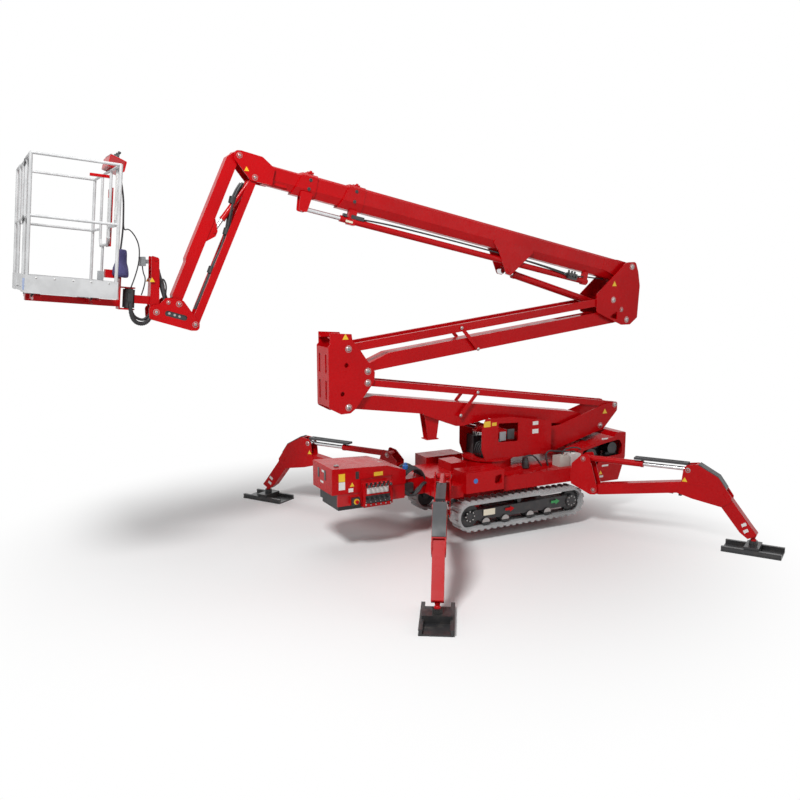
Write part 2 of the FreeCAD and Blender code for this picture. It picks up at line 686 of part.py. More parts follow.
def make_boom_inner():
    """Inner boom section with the head plates that carry the jib."""
    inset = 2 * BOOM_STEP
    shell = boom_tube(inset, INNER_TAIL, HEAD_START + 60)
    top_u, top_v = boom_point(JIB_TOP)
    tie_u, tie_v = boom_point(JIB_TOP_TIE_PIN)
    head = [
        (HEAD_START - 30, BOOM_BOTTOM + inset + 4, 10.0),
        (HEAD_START - 30, BOOM_TOP - inset - 26, 10.0),
        (HEAD_START + 120, BOOM_TOP + 30, 30.0),
        (top_u - 10, top_v + 52, 30.0),
        (top_u + 52, top_v + 40, 36.0),
        (top_u + 52, top_v - 40, 36.0),
        (tie_u + 40, tie_v - 40, 36.0),
        (tie_u - 40, tie_v - 40, 36.0),
    ]
    plates = boom_plate(head, JIB_PLATE_INNER, JIB_PLATE_OUTER)
    cheek = [
        (HEAD_START - 200, BOOM_BOTTOM + inset + 20, 0.0),
        (HEAD_START - 200, BOOM_TOP - inset - 30, 0.0),
        (HEAD_START + 70, BOOM_TOP - inset - 30, 0.0),
        (HEAD_START + 70, BOOM_BOTTOM + inset + 20, 0.0),
    ]
    filler = [slab([(-u, v, r) for u, v, r in cheek], -60, 60)]
    bridge = block(-HEAD_START - 62, -HEAD_START + 20, -JIB_PLATE_INNER, JIB_PLATE_INNER,
                   BOOM_BOTTOM + inset + 30, BOOM_TOP - inset - 34)
    pins = [
        headed_pin((-top_u, top_v), JIB_PIN_RADIUS, JIB_PLATE_OUTER),
        headed_pin((-tie_u, tie_v), JIB_PIN_RADIUS, JIB_PLATE_OUTER),
    ]
    hollow = boom_tube(inset + BOOM_WALL, INNER_TAIL - 1, HEAD_START - 210)
    solid = fused([shell, bridge] + plates + filler + pins).cut(hollow)
    solid.Placement = boom_frame()
    return solid


def jib_point(place):
    """A place in the boom plane as (u, v): u down the jib, v towards the tie."""
    length = length_between(JIB_TOP, JIB_FOOT)
    ex = (JIB_FOOT[0] - JIB_TOP[0]) / length
    ez = (JIB_FOOT[1] - JIB_TOP[1]) / length
    dx = place[0] - JIB_TOP[0]
    dz = place[1] - JIB_TOP[1]
    return (dx * ex + dz * ez, -dx * ez + dz * ex)


def make_jib_beam():
    """Jib beam with the cylinder's lugs half way down."""
    length = length_between(JIB_TOP, JIB_FOOT)
    eye_u, eye_v = jib_point(JIB_EYE)
    body = [
        (-34.0, -40.0, 30.0),
        (60.0, JIB_LEFT, 30.0),
        (length * 0.72, JIB_LEFT, 0.0),
        (length * 0.74, JIB_LEFT + 14, 0.0),
        (length - 60.0, JIB_LEFT + 14, 30.0),
        (length + 32.0, -30.0, 30.0),
        (length + 32.0, 30.0, 28.0),
        (length - 40.0, JIB_RIGHT + 6, 0.0),
        (80.0, JIB_RIGHT, 0.0),
        (-34.0, 34.0, 30.0),
    ]
    lug = [
        (eye_u - 180, JIB_RIGHT - 30, 0.0),
        (eye_u - 20, eye_v + 30, 24.0),
        (eye_u + 36, eye_v + 30, 24.0),
        (eye_u + 170, JIB_RIGHT - 30, 0.0),
    ]
    eye_half = JIB_CYLINDER[4] + SIDE_GAP
    beam = slab(body, -JIB_HALF, JIB_HALF)
    lugs = paired_slabs(lug, eye_half, eye_half + 12)
    studs = [cross_pin((eye_u, eye_v), 15.0, side, side + 20) for side in (eye_half + 1, -eye_half - 21)]
    spacer = JIB_PLATE_INNER - SLIDE_GAP
    bosses = [cross_pin((u, 0.0), JIB_PIN_RADIUS + 9, -spacer, spacer) for u in (0.0, length)]
    solid = fused([beam] + lugs + studs + bosses)
    pocket = slab([
        (eye_u - 420, JIB_RIGHT + 1, 0.0),
        (eye_u - 420, JIB_RIGHT - 20, 0.0),
        (eye_u - 80, JIB_LEFT + 40, 0.0),
        (eye_u + 90, JIB_LEFT + 40, 0.0),
        (eye_u + 90, JIB_RIGHT + 120, 0.0),
    ], -eye_half, eye_half)
    holes = [cross_pin((u, 0.0), JIB_PIN_RADIUS + PIN_FIT, -spacer - 1, spacer + 1) for u in (0.0, length)]
    return placed_along(solid.cut(Part.Compound(holes + [pocket])), JIB_TOP, JIB_FOOT)


def make_jib_tie():
    """Jib tie: two bars joined by a tube near the foot."""
    length = length_between(JIB_TOP, JIB_FOOT)
    half = JIB_TIE_DEPTH / 2
    rounding = half * 0.8
    bar = [
        (-half, -half, rounding),
        (-half, half, rounding),
        (length + half, half, rounding),
        (length + half, -half, rounding),
    ]
    bars = paired_slabs(bar, JIB_TIE_INNER, JIB_TIE_OUTER)
    joiner = cross_pin((length - 330.0, 0.0), 22.0, -JIB_TIE_INNER - 2, JIB_TIE_INNER + 2)
    solid = fused(bars + [joiner])
    reach = JIB_TIE_OUTER + 1
    holes = [cross_pin((u, 0.0), JIB_PIN_RADIUS + PIN_FIT, -reach, reach) for u in (0.0, length)]
    return placed_along(solid.cut(Part.Compound(holes)), JIB_TOP_TIE_PIN, JIB_FOOT_TIE_PIN)


def make_jib_end():
    """End plates of the jib with a long slot and four pins, drawn from the jib's foot."""
    side = [
        (-299.0, -143.0, 40.0),
        (-299.0, -19.0, 40.0),
        (-197.0, 1.0, 20.0),
        (-127.0, 63.0, 24.0),
        (-37.0, 56.0, 24.0),
        (48.0, 31.0, 30.0),
        (203.0, -199.0, 40.0),
        (197.0, -277.0, 40.0),
        (113.0, -273.0, 30.0),
    ]
    plates = paired_slabs(side, JIB_PLATE_INNER, JIB_PLATE_OUTER)
    slot = [(-134.0, -58.0, 26.0), (-150.0, -110.0, 26.0), (69.0, -176.0, 26.0), (85.0, -124.0, 26.0)]
    solid = fused(plates).cut(slab(slot, -200, 200))
    web = [(-67.0, -194.0, 0.0), (93.0, -244.0, 0.0), (95.0, -236.0, 0.0), (-65.0, -186.0, 0.0)]
    joiner = slab(web, -JIB_PLATE_INNER - 2, JIB_PLATE_INNER + 2)
    body = fused([solid, joiner])
    body.translate(Vector(JIB_FOOT[0], 0, JIB_FOOT[1]))
    places = (JIB_FOOT, JIB_FOOT_TIE_PIN, POST_PIVOT)
    pins = [headed_pin(place, JIB_PIN_RADIUS, JIB_PLATE_OUTER) for place in places]
    pins.append(headed_pin(LEVEL_BASE, LEVEL_PIN_RADIUS, JIB_PLATE_OUTER))
    return fused([body] + pins)


def basket_frame_placement():
    """Placement of the tilted basket frame: x from the gate side, z from the floor."""
    return Placement(Vector(BASKET_CORNER[0], 0, BASKET_CORNER[1]), Rotation(Vector(0, 1, 0), BASKET_TILT))


def basket_point(place):
    """A place in the boom plane in the basket's own frame."""
    angle = math.radians(BASKET_TILT)
    dx = place[0] - BASKET_CORNER[0]
    dz = place[1] - BASKET_CORNER[1]
    return (dx * math.cos(angle) - dz * math.sin(angle), dx * math.sin(angle) + dz * math.cos(angle))


def make_basket_post():
    """Post that levels the basket, with arms to the rotator."""
    pivot = basket_point(POST_PIVOT)
    top = basket_point(LEVEL_EYE)
    arm_end = ROTATOR_X + ROTATOR_RADIUS * 0.8
    side = [
        (pivot[0] - 36, pivot[1] - 34, 30.0),
        (pivot[0] + 34, pivot[1] - 34, 30.0),
        (pivot[0] + 34, pivot[1] + 60, 20.0),
        (top[0] + 34, top[1] + 20, 24.0),
        (top[0] - 44, top[1] + 36, 12.0),
        (pivot[0] - 60, pivot[1] + 330, 20.0),
        (pivot[0] - 60, pivot[1] + 60, 20.0),
    ]
    plates = paired_slabs(side, 60.0, 72.0)
    boss = cross_pin(pivot, JIB_PIN_RADIUS + 9, -JIB_PLATE_INNER + SLIDE_GAP, JIB_PLATE_INNER - SLIDE_GAP)
    back = block(pivot[0] - 60, pivot[0] - 46, -62, 62, pivot[1] + 70, pivot[1] + 330)
    arm = block(arm_end, pivot[0] - 46, -44, 44, ROTATOR_LOW + 70, ROTATOR_LOW + 150)
    stud = [cross_pin(top, 13.0, side_y, side_y + 22) for side_y in (58.0, -80.0)]
    solid = fused(plates + [boss, back, arm] + stud)
    solid = solid.cut(cross_pin(pivot, JIB_PIN_RADIUS + PIN_FIT, -120, 120))
    well = Part.makeCylinder(ROTATOR_RADIUS + SEAT_GAP, 900, Vector(ROTATOR_X, 0, -400), Vector(0, 0, 1))
    solid = solid.cut(well)
    solid.Placement = basket_frame_placement()
    return solid


def make_rotator():
    """Rotary actuator that turns the basket."""
    low = ROTATOR_LOW + BRACKET_PLATE + SLIDE_GAP
    height = ROTATOR_HIGH - low
    body = Part.makeCylinder(ROTATOR_RADIUS, height - 16, Vector(ROTATOR_X, 0, low + 8), Vector(0, 0, 1))
    cap = Part.makeCylinder(ROTATOR_RADIUS * 0.7, height, Vector(ROTATOR_X, 0, low), Vector(0, 0, 1))
    valve = block(ROTATOR_X - 25, ROTATOR_X + 25, -82, -50, low + 70, low + 150)
    solid = fused([body, cap, valve])
    solid.Placement = basket_frame_placement()
    return solid


def basket_tube(start, finish, radius):
    """Round rail between two places of the basket frame."""
    return tube(Vector(*start), Vector(*finish), radius)


def basket_upright(start, finish):
    """Thin upright tube, its seam turned away from the rails that meet it."""
    upright = basket_tube(start, finish, RAIL_TUBE)
    upright.rotate(Vector(*start), Vector(0, 0, 1), SEAM_TURN)
    return upright


def make_basket_frame():
    """Welded tube cage with kick boards, floor and the bracket to the rotator."""
    half = BASKET_WIDTH / 2 - BASKET_TUBE
    near, far = BASKET_TUBE, BASKET_DEPTH - BASKET_TUBE
    top = BASKET_HEIGHT - RAIL_TUBE
    floor_top = FLOOR_THICK
    middle = BASKET_HEIGHT * 0.55
    pieces = []
    posts = [
        (near, -half), (near, half), (far, -half), (far, half),
        (near, -GATE_POST_Y), (near, GATE_POST_Y),
    ]
    for x, y in posts:
        pieces.append(basket_tube((x, y, 4), (x, y, top), POST_RADIUS))
    rails = []
    for z in (top, middle):
        rails.append(((near, -half, z), (far, -half, z)))
        rails.append(((near, half, z), (far, half, z)))
        rails.append(((far, -half, z), (far, -GUARD_HALF, z)))
        rails.append(((far, GUARD_HALF, z), (far, half, z)))
        rails.append(((near, -half, z), (near, -GATE_POST_Y, z)))
        rails.append(((near, GATE_POST_Y, z), (near, half, z)))
    rails.append(((far, -half, top), (far, half, top)))
    stem = far + KICK_THICK / 2
    rails.append(((stem, GUARD_POST_Y, floor_top - 4), (stem, GUARD_POST_Y, GUARD_LOW)))
    guard = [
        (far, -GUARD_HALF, GUARD_LOW + GUARD_BEND),
        (far, -GUARD_HALF + GUARD_BEND, GUARD_LOW),
        (far, GUARD_HALF - GUARD_BEND, GUARD_LOW),
        (far, GUARD_HALF, GUARD_LOW + GUARD_BEND),
    ]
    rails.append((guard[1], guard[2]))
    for y in (-GUARD_HALF, GUARD_HALF):
        pieces.append(basket_upright((far, y, GUARD_LOW + GUARD_BEND), (far, y, top)))
    for start, finish in rails:
        pieces.append(basket_tube(start, finish, RAIL_TUBE))
    for start, finish in ((guard[1], guard[0]), (guard[2], guard[3])):
        lap = (Vector(*finish) - Vector(*start)).normalize() * GUARD_LAP
        pieces.append(tube(Vector(*start) - lap, Vector(*finish) + lap, RAIL_TUBE + WELD_BEAD))
    floor = block(8, BASKET_DEPTH - 8, -BASKET_WIDTH / 2 + 8, BASKET_WIDTH / 2 - 8, 0, floor_top)
    boards = [
        block(0, BASKET_DEPTH, -BASKET_WIDTH / 2, -BASKET_WIDTH / 2 + KICK_THICK, -6, KICK_HEIGHT),
        block(0, BASKET_DEPTH, BASKET_WIDTH / 2 - KICK_THICK, BASKET_WIDTH / 2, -6, KICK_HEIGHT),
        block(BASKET_DEPTH - KICK_THICK, BASKET_DEPTH, -BASKET_WIDTH / 2, BASKET_WIDTH / 2, -6, KICK_HEIGHT),
        block(0, KICK_THICK, -BASKET_WIDTH / 2, -GATE_POST_Y, -6, KICK_HEIGHT),
        block(0, KICK_THICK, GATE_POST_Y, BASKET_WIDTH / 2, -6, KICK_HEIGHT),
    ]
    fillers = []
    for y in (-BASKET_WIDTH / 2 + 2, BASKET_WIDTH / 2 - 10):
        fillers.append(block(2, BASKET_DEPTH - 2, y, y + 8, 2, floor_top - 2))
    fillers.append(block(BASKET_DEPTH - 10, BASKET_DEPTH - 2, -half, half, 2, floor_top - 2))
    return fused(pieces + [floor] + boards + fillers)


def make_basket_gate():
    """Gate in the middle of the free side, hung on the post on its -Y side."""
    low = FLOOR_THICK + 6
    top = BASKET_HEIGHT - RAIL_TUBE
    left = GATE_HINGE_Y
    right = -GATE_HINGE_Y
    x = BASKET_TUBE
    pieces = [
        basket_upright((x, left, low), (x, left, top + GATE_POST_RISE)),
        basket_upright((x, right, low), (x, right, top + GATE_POST_RISE)),
        basket_tube((x, left, top - RAIL_TUBE), (x, right, top - RAIL_TUBE), RAIL_TUBE),
        basket_tube((x, left, BASKET_HEIGHT * 0.55), (x, right, BASKET_HEIGHT * 0.55), RAIL_TUBE),
        basket_tube((x, 0.0, BASKET_HEIGHT * 0.55), (x, 0.0, top - RAIL_TUBE), RAIL_TUBE * 0.8),
        block(x - 4, x + 4, left, right, low, KICK_HEIGHT),
    ]
    return fused(pieces)


def make_basket_support():
    """Painted beams below the floor and the bracket that the rotator turns."""
    beam = block(60, BASKET_DEPTH + 40, -70, 70, -92, -30)
    cross = [block(x, x + CROSS_BEAM_WIDTH, -560, 560, -72, -30) for x in CROSS_BEAM_X]
    mounts = []
    for x in CROSS_BEAM_X:
        for y in (-500.0, 500.0):
            foot = Vector(x + CROSS_BEAM_WIDTH / 2, y, -30)
            mounts.append(Part.makeCylinder(26, 30, foot, Vector(0, 0, 1)))
    face = ROTATOR_X - ROTATOR_RADIUS - 34
    upright = block(face - BRACKET_PLATE, face, -80, 80, ROTATOR_LOW, 330)
    strut = block(BASKET_DEPTH + 2, face, -60, 60, -92, -30)
    rail = block(BASKET_DEPTH + SEAT_GAP, face, -40, 40, 180, 260)
    shelves = []
    for low in (ROTATOR_LOW, ROTATOR_HIGH + SLIDE_GAP):
        arm = block(face - 2, ROTATOR_X, -60, 60, low, low + BRACKET_PLATE)
        round_end = Part.makeCylinder(60, BRACKET_PLATE, Vector(ROTATOR_X, 0, low), Vector(0, 0, 1))
        shelves.extend([arm, round_end])
    return fused([beam, upright, strut, rail] + cross + mounts + shelves)


def make_basket_console():
    """Tilted control box on the rail beside the rotator."""
    side = [(0.0, 0.0, 10.0), (150.0, -40.0, 10.0), (170.0, 60.0, 10.0), (20.0, 110.0, 10.0)]
    box = slab(side, -190, 190)
    box.translate(Vector(BASKET_DEPTH - 60, -120, BASKET_HEIGHT + 20))
    leg = block(BASKET_DEPTH - 4, BASKET_DEPTH + 12, -140, -100, BASKET_HEIGHT * 0.45, BASKET_HEIGHT + 40)
    panel = block(BASKET_DEPTH + 1, BASKET_DEPTH + 11, -240, 0, BASKET_HEIGHT * 0.4, BASKET_HEIGHT * 0.86)
    return fused([box, leg, panel])


def leg_place(shape, side_x, side_y):
    """A piece drawn in the leg frame, set at one corner of the chassis."""
    turn = math.radians(LEG_AZIMUTH)
    angle = math.degrees(math.atan2(side_y * math.sin(turn), side_x * math.cos(turn)))
    placed = shape.copy()
    hinge = Vector(side_x * LEG_HINGE[0], side_y * LEG_HINGE[1], 0)
    placed.Placement = Placement(hinge, Rotation(Vector(0, 0, 1), angle)).multiply(placed.Placement)
    return placed


def make_leg_bracket():
    """Pair of plates that carries a leg's hinge and its cylinder."""
    side = [
        (BRACKET_BACK, 540.0, 0.0),
        (BRACKET_BACK, 795.0, 20.0),
        (-170.0, 912.0, 30.0),
        (-70.0, 936.0, 24.0),
        (50.0, 520.0, 30.0),
        (52.0, 440.0, 40.0),
        (-40.0, 432.0, 30.0),
    ]
    plates = paired_slabs(side, BRACKET_INNER, BRACKET_OUTER)
    back = block(BRACKET_BACK, BRACKET_BACK + 22, -BRACKET_INNER - 2, BRACKET_INNER + 2, 545, 770)
    pins = [
        headed_pin((0.0, LEG_HINGE[2]), LEG_PIN_RADIUS, BRACKET_OUTER),
        headed_pin(LEG_BASE, LEG_PIN_RADIUS, BRACKET_OUTER),
    ]
    return fused(plates + [back] + pins)


def make_leg_beam():
    """Leg: box beam, welded elbow plates and slanted lower leg with its socket."""
    hinge_z = LEG_HINGE[2]
    beam = [
        (-36.0, hinge_z - 40, 34.0),
        (-36.0, hinge_z + 40, 34.0),
        (80.0, hinge_z + 84, 20.0),
        (1120.0, 742.0, 0.0),
        (1200.0, 600.0, 0.0),
        (1000.0, 590.0, 0.0),
        (70.0, hinge_z - 52, 30.0),
    ]
    elbow = [
        (1046.0, 735.0, 0.0),
        (1060.0, 880.0, 30.0),
        (1096.0, 938.0, 40.0),
        (1215.0, 955.0, 50.0),
        (1454.0, 832.0, 60.0),
        (1612.0, 612.0, 30.0),
        (1606.0, 560.0, 30.0),
        (1505.0, 490.0, 30.0),
        (1176.0, 545.0, 30.0),
        (1000.0, 592.0, 0.0),
    ]
    shin_top = between((1505.0, 490.0), (1612.0, 580.0), 0.5)
    shin = [
        (shin_top[0] - 110, shin_top[1] + 20, 0.0),
        (shin_top[0] - 10, shin_top[1] + 130, 0.0),
        (1840.0, 292.0, 0.0),
        (1905.0, 214.0, 10.0),
        (1806.0, 158.0, 10.0),
        (1716.0, 222.0, 0.0),
    ]
    spacer = BRACKET_INNER - SLIDE_GAP
    boss = cross_pin((0.0, hinge_z), LEG_PIN_RADIUS + 12, -spacer, spacer)
    plates = paired_slabs(elbow, LEG_HALF - 2, LEG_HALF + LEG_PLATE)
    core_inner = [
        (1180.0, 560.0, 0.0),
        (1250.0, 760.0, 0.0),
        (1440.0, 800.0, 0.0),
        (1590.0, 600.0, 0.0),
        (1500.0, 505.0, 0.0),
    ]
    studs = [cross_pin(LEG_EYE, LEG_PIN_RADIUS, side, side + 20) for side in (LEG_HALF + 1, -LEG_HALF - 21)]
    neck = Part.makeCone(30, 20, 60, Vector(LEG_BALL[0], 0, LEG_BALL[1] + 62), Vector(-0.25, 0, -1))
    ball = Part.makeSphere(BALL_RADIUS - 1, Vector(LEG_BALL[0], 0, LEG_BALL[1]))
    boxes = [slab(corners, -LEG_HALF, LEG_HALF) for corners in (beam, shin, core_inner)]
    cover = slab([
        (1192.0, 948.0, 0.0),
        (1216.0, 951.0, 48.0),
        (1452.0, 830.0, 60.0),
        (1550.0, 694.0, 0.0),
        (1542.0, 690.0, 0.0),
        (1447.0, 822.0, 52.0),
        (1213.0, 943.0, 40.0),
        (1192.0, 940.0, 0.0),
    ], -LEG_HALF, LEG_HALF)
    solid = fused(boxes + [boss, neck, ball, cover] + plates + studs)
    return solid.cut(cross_pin((0.0, hinge_z), LEG_PIN_RADIUS + PIN_FIT, -spacer - 1, spacer + 1))


def make_rod_guard():
    """Folded guard over a leg cylinder's rod, held by the rod's eye."""
    slope = (LEG_EYE[1] - LEG_BASE[1]) / (LEG_EYE[0] - LEG_BASE[0])
    start = LEG_EYE[0] - GUARD_LENGTH
    finish = LEG_EYE[0] - 5
    corners = []
    for r, rise in ((start, GUARD_RISE), (start, GUARD_RISE + GUARD_DEPTH),
                    (finish, GUARD_RISE + GUARD_DEPTH), (finish, GUARD_RISE)):
        corners.append((r, LEG_EYE[1] + (r - LEG_EYE[0]) * slope + rise, 0.0))
    outer = slab(corners, -GUARD_WIDTH / 2, GUARD_WIDTH / 2)
    groove = block(start + 20, finish - 60, -14, 14, LEG_EYE[1] + GUARD_RISE + GUARD_DEPTH - 9, LEG_EYE[1] + 200)
    web = block(finish - 26, finish, -16, 16, LEG_EYE[1] + 10, LEG_EYE[1] + GUARD_RISE + 4)
    return fused([outer.cut(groove), web])


def make_leg_pad():
    """Ground pad: plate, two raised rails and the socket of the ball."""
    centre = LEG_BALL[0]
    start = centre - PAD_LENGTH / 2
    finish = centre + PAD_LENGTH / 2
    half = PAD_WIDTH / 2
    plate = block(start, finish, -half, half, 0, PAD_PLATE)
    rails = []
    for y in (-half, half - 40):
        rails.append(block(start, finish, y + 6, y + 34, PAD_PLATE, PAD_RAIL))
        rails.append(block(start, finish, y, y + 40, PAD_RAIL, PAD_RAIL + 8))
    bridge = block(centre - 80, centre + 80, -half + 20, half - 20, PAD_PLATE, LEG_BALL[1] - BALL_RADIUS - 12)
    cup_low = LEG_BALL[1] - BALL_RADIUS - 12
    socket = Part.makeCylinder(BALL_RADIUS + 14, BALL_RADIUS + 12, Vector(centre, 0, cup_low), Vector(0, 0, 1))
    solid = fused([plate, bridge, socket] + rails)
    return solid.cut(Part.makeSphere(BALL_RADIUS - 1 + SEAT_GAP, Vector(centre, 0, LEG_BALL[1])))


def track_outline(radius, y):
    """Closed loop wire round idler and sprocket at a radius."""
    low = TRACK_AXLE_Z - radius
    high = TRACK_AXLE_Z + radius
    left = Vector(IDLER_X - radius, y, TRACK_AXLE_Z)
    right = Vector(SPROCKET_X + radius, y, TRACK_AXLE_Z)
    edges = [
        Part.LineSegment(Vector(IDLER_X, y, low), Vector(SPROCKET_X, y, low)).toShape(),
        Part.Arc(Vector(SPROCKET_X, y, low), right, Vector(SPROCKET_X, y, high)).toShape(),
        Part.LineSegment(Vector(SPROCKET_X, y, high), Vector(IDLER_X, y, high)).toShape(),
        Part.Arc(Vector(IDLER_X, y, high), left, Vector(IDLER_X, y, low)).toShape(),
    ]
    return Part.Wire(edges)


def loop_place(distance, radius):
    """Point of the track loop at a distance along its middle line, at another radius."""
    straight = SPROCKET_X - IDLER_X
    turn = math.pi * TRACK_RADIUS
    if distance < straight:
        return (IDLER_X + distance, TRACK_AXLE_Z - radius)
    distance -= straight
    if distance < turn:
        angle = -math.pi / 2 + distance / TRACK_RADIUS
        return (SPROCKET_X + radius * math.cos(angle), TRACK_AXLE_Z + radius * math.sin(angle))
    distance -= turn
    if distance < straight:
        return (SPROCKET_X - distance, TRACK_AXLE_Z + radius)
    angle = math.pi / 2 + (distance - straight) / TRACK_RADIUS
    return (IDLER_X + radius * math.cos(angle), TRACK_AXLE_Z + radius * math.sin(angle))


def make_track():
    """Rubber track: one belt with its lugs in the outline."""
    total = 2 * (SPROCKET_X - IDLER_X) + 2 * math.pi * TRACK_RADIUS
    pitch = total / LUG_COUNT
    points = []
    for index in range(LUG_COUNT):
        start = index * pitch
        for share, radius in ((0.0, TRACK_RADIUS), (0.42, TRACK_RADIUS), (0.48, TRACK_RADIUS + LUG_HEIGHT),
                              (0.94, TRACK_RADIUS + LUG_HEIGHT)):
            points.append(loop_place((start + share * pitch) % total, radius))
    wire = Part.makePolygon([Vector(x, TRACK_INNER, z) for x, z in points + points[:1]])
    belt = Part.Face(wire).extrude(Vector(0, TRACK_WIDTH, 0))
    hollow = Part.Face(track_outline(TRACK_RADIUS - BELT_THICK, TRACK_INNER - 1))
    return belt.cut(hollow.extrude(Vector(0, TRACK_WIDTH + 2, 0)))


def make_track_frame():
    """Frame beam with rollers, idler and toothed sprocket inside the belt."""
    y0 = TRACK_INNER + 30
    y1 = TRACK_INNER + TRACK_WIDTH - 24
    seat = TRACK_RADIUS - BELT_THICK - SEAT_GAP
    beam = slab([
        (IDLER_X + 60, 260.0, 20.0),
        (IDLER_X + 40, 380.0, 30.0),
        (SPROCKET_X - 40, 396.0, 30.0),
        (SPROCKET_X - 60, 254.0, 20.0),
    ], y0 + 16, y1 - 16)
    idler = cross_pin((IDLER_X, TRACK_AXLE_Z), seat, y0 + 44, y1 - 44)
    hub = cross_pin((IDLER_X, TRACK_AXLE_Z), 46.0, y0 + 10, y1 - 6)
    drum = cross_pin((SPROCKET_X, TRACK_AXLE_Z), seat - 20, y0 + 46, y1 - 46)
    drive = cross_pin((SPROCKET_X, TRACK_AXLE_Z), 78.0, y0, y1)
    teeth = []
    tooth_count = 15
    for index in range(tooth_count):
        angle = 2 * math.pi * index / tooth_count
        reach = seat - 12
        place = (SPROCKET_X + reach * math.cos(angle), TRACK_AXLE_Z + reach * math.sin(angle))
        teeth.append(cross_pin(place, 11.0, y0 + 50, y1 - 50))
    rollers = []
    roller_radius = 44.0
    for x in (-393.0, -117.0, 245.0, 507.0):
        rollers.append(cross_pin((x, TRACK_AXLE_Z - seat + roller_radius), roller_radius, y0 + 6, y1 - 6))
    top_roller = cross_pin((100.0, TRACK_AXLE_Z + seat - 30.0), 30.0, y0 + 30, y1 - 30)
    bracket = block(82, 118, y0 + 40, y1 - 40, 370, TRACK_AXLE_Z + seat - 34)
    mount = block(-260, 520, KEEL_HALF + SEAT_GAP, y0 + 20, 290, 390)
    return fused([beam, idler, hub, drum, drive, top_roller, bracket, mount] + teeth + rollers)


def make_chassis():
    """Chassis: centre box, side beams over the tracks, cross arms and slew ring seat."""
    centre = slab([
        (CHASSIS_BACK, CHASSIS_LOW + 40, 20.0),
        (CHASSIS_BACK, CHASSIS_HIGH, 10.0),
        (CHASSIS_FRONT, CHASSIS_HIGH, 10.0),
        (CHASSIS_FRONT, CHASSIS_LOW + 40, 20.0),
        (CHASSIS_FRONT - 150, CHASSIS_LOW, 20.0),
        (CHASSIS_BACK + 150, CHASSIS_LOW, 20.0),
    ], -CHASSIS_HALF, CHASSIS_HALF)
    keel = block(-300, 560, -KEEL_HALF, KEEL_HALF, 280, CHASSIS_LOW + 4)
    side_beams = []
    arms = []
    seats = []
    for side_y in (-1, 1):
        low, high = sorted((side_y * (CHASSIS_HALF - 5), side_y * 560.0))
        side_beams.append(block(-115, CHASSIS_FRONT - 14, low, high, ARM_LOW, ARM_TOP))
        side_beams.append(block(CHASSIS_BACK + 10, -690, low, high, ARM_LOW, 700))
        for side_x in (-1, 1):
            arm = block(-640, BRACKET_BACK - SEAT_GAP, -BRACKET_OUTER + 6, BRACKET_OUTER - 6, ARM_LOW, ARM_TOP)
            arms.append(leg_place(arm, side_x, side_y))
            wide = BRACKET_OUTER + SEAT_GAP
            seat = block(BRACKET_BACK - SEAT_GAP, 100, -wide, wide, 400, 960)
            seats.append(leg_place(seat, side_x, side_y))
    nose = block(CONSOLE_BACK + SEAT_GAP, CHASSIS_BACK + 10, -200, 200, ARM_LOW, 760)
    ring_height = TURRET_FLOOR - CHASSIS_HIGH - RING_GAP
    ring = Part.makeCylinder(RING_RADIUS, ring_height, Vector(0, 0, CHASSIS_HIGH), Vector(0, 0, 1))
    deck_box = block(-620, -400, -150, 150, CHASSIS_HIGH - 4, TURRET_FLOOR - DECK_GAP)
    deck_hollow = block(-560, -399, -110, 110, CHASSIS_HIGH, TURRET_FLOOR - DECK_GAP - 16)
    deck = deck_box.cut(deck_hollow)
    return fused([centre, keel, nose, ring, deck] + side_beams + arms).cut(Part.Compound(seats))


def make_side_boxes():
    """Hydraulic box on the near side and battery box on the far side, over the tracks."""
    boxes = []
    for side_y in (-1, 1):
        low, high = sorted((side_y * 620.0, side_y * (CHASSIS_HALF + SEAT_GAP)))
        box = block(-690, -161, low, high, 606, 850)
        opening = [(-292.0, 682.0, 30.0), (-292.0, 780.0, 30.0), (-196.0, 790.0, 10.0), (-196.0, 682.0, 10.0)]
        start, finish = sorted((side_y * 621.0, side_y * (620.0 - OPENING_DEPTH)))
        boxes.append(box.cut(slab(opening, start, finish)))
    return Part.Compound(boxes)


def make_console_housing():
    """Front housing over the outrigger valves, open below and at the lever side."""
    profile = [
        (-2230.0, 701.0, 0.0),
        (-2230.0, 1000.0, 8.0),
        (-1540.0, 972.0, 8.0),
        (CONSOLE_BACK, 894.0, 8.0),
        (CONSOLE_BACK, 735.0, 0.0),
        (-1480.0, 725.0, 0.0),
        (-1880.0, 700.0, 0.0),
    ]
    outer = slab(profile, -CONSOLE_HALF, CONSOLE_HALF)
    wall = CONSOLE_WALL
    inner = [
        (-2230.0 + wall, 650.0, 0.0),
        (-2230.0 + wall, 1000.0 - wall, 0.0),
        (-1540.0, 972.0 - wall, 0.0),
        (CONSOLE_BACK - wall, 894.0 - wall, 0.0),
        (CONSOLE_BACK - wall, 650.0, 0.0),
    ]
    shell = outer.cut(slab(inner, -CONSOLE_HALF + wall, CONSOLE_HALF - wall))
    notch = block(-1880, -1480, -CONSOLE_HALF - 1, -CONSOLE_HALF + wall + 1, 640, 850)
    return shell.cut(notch)


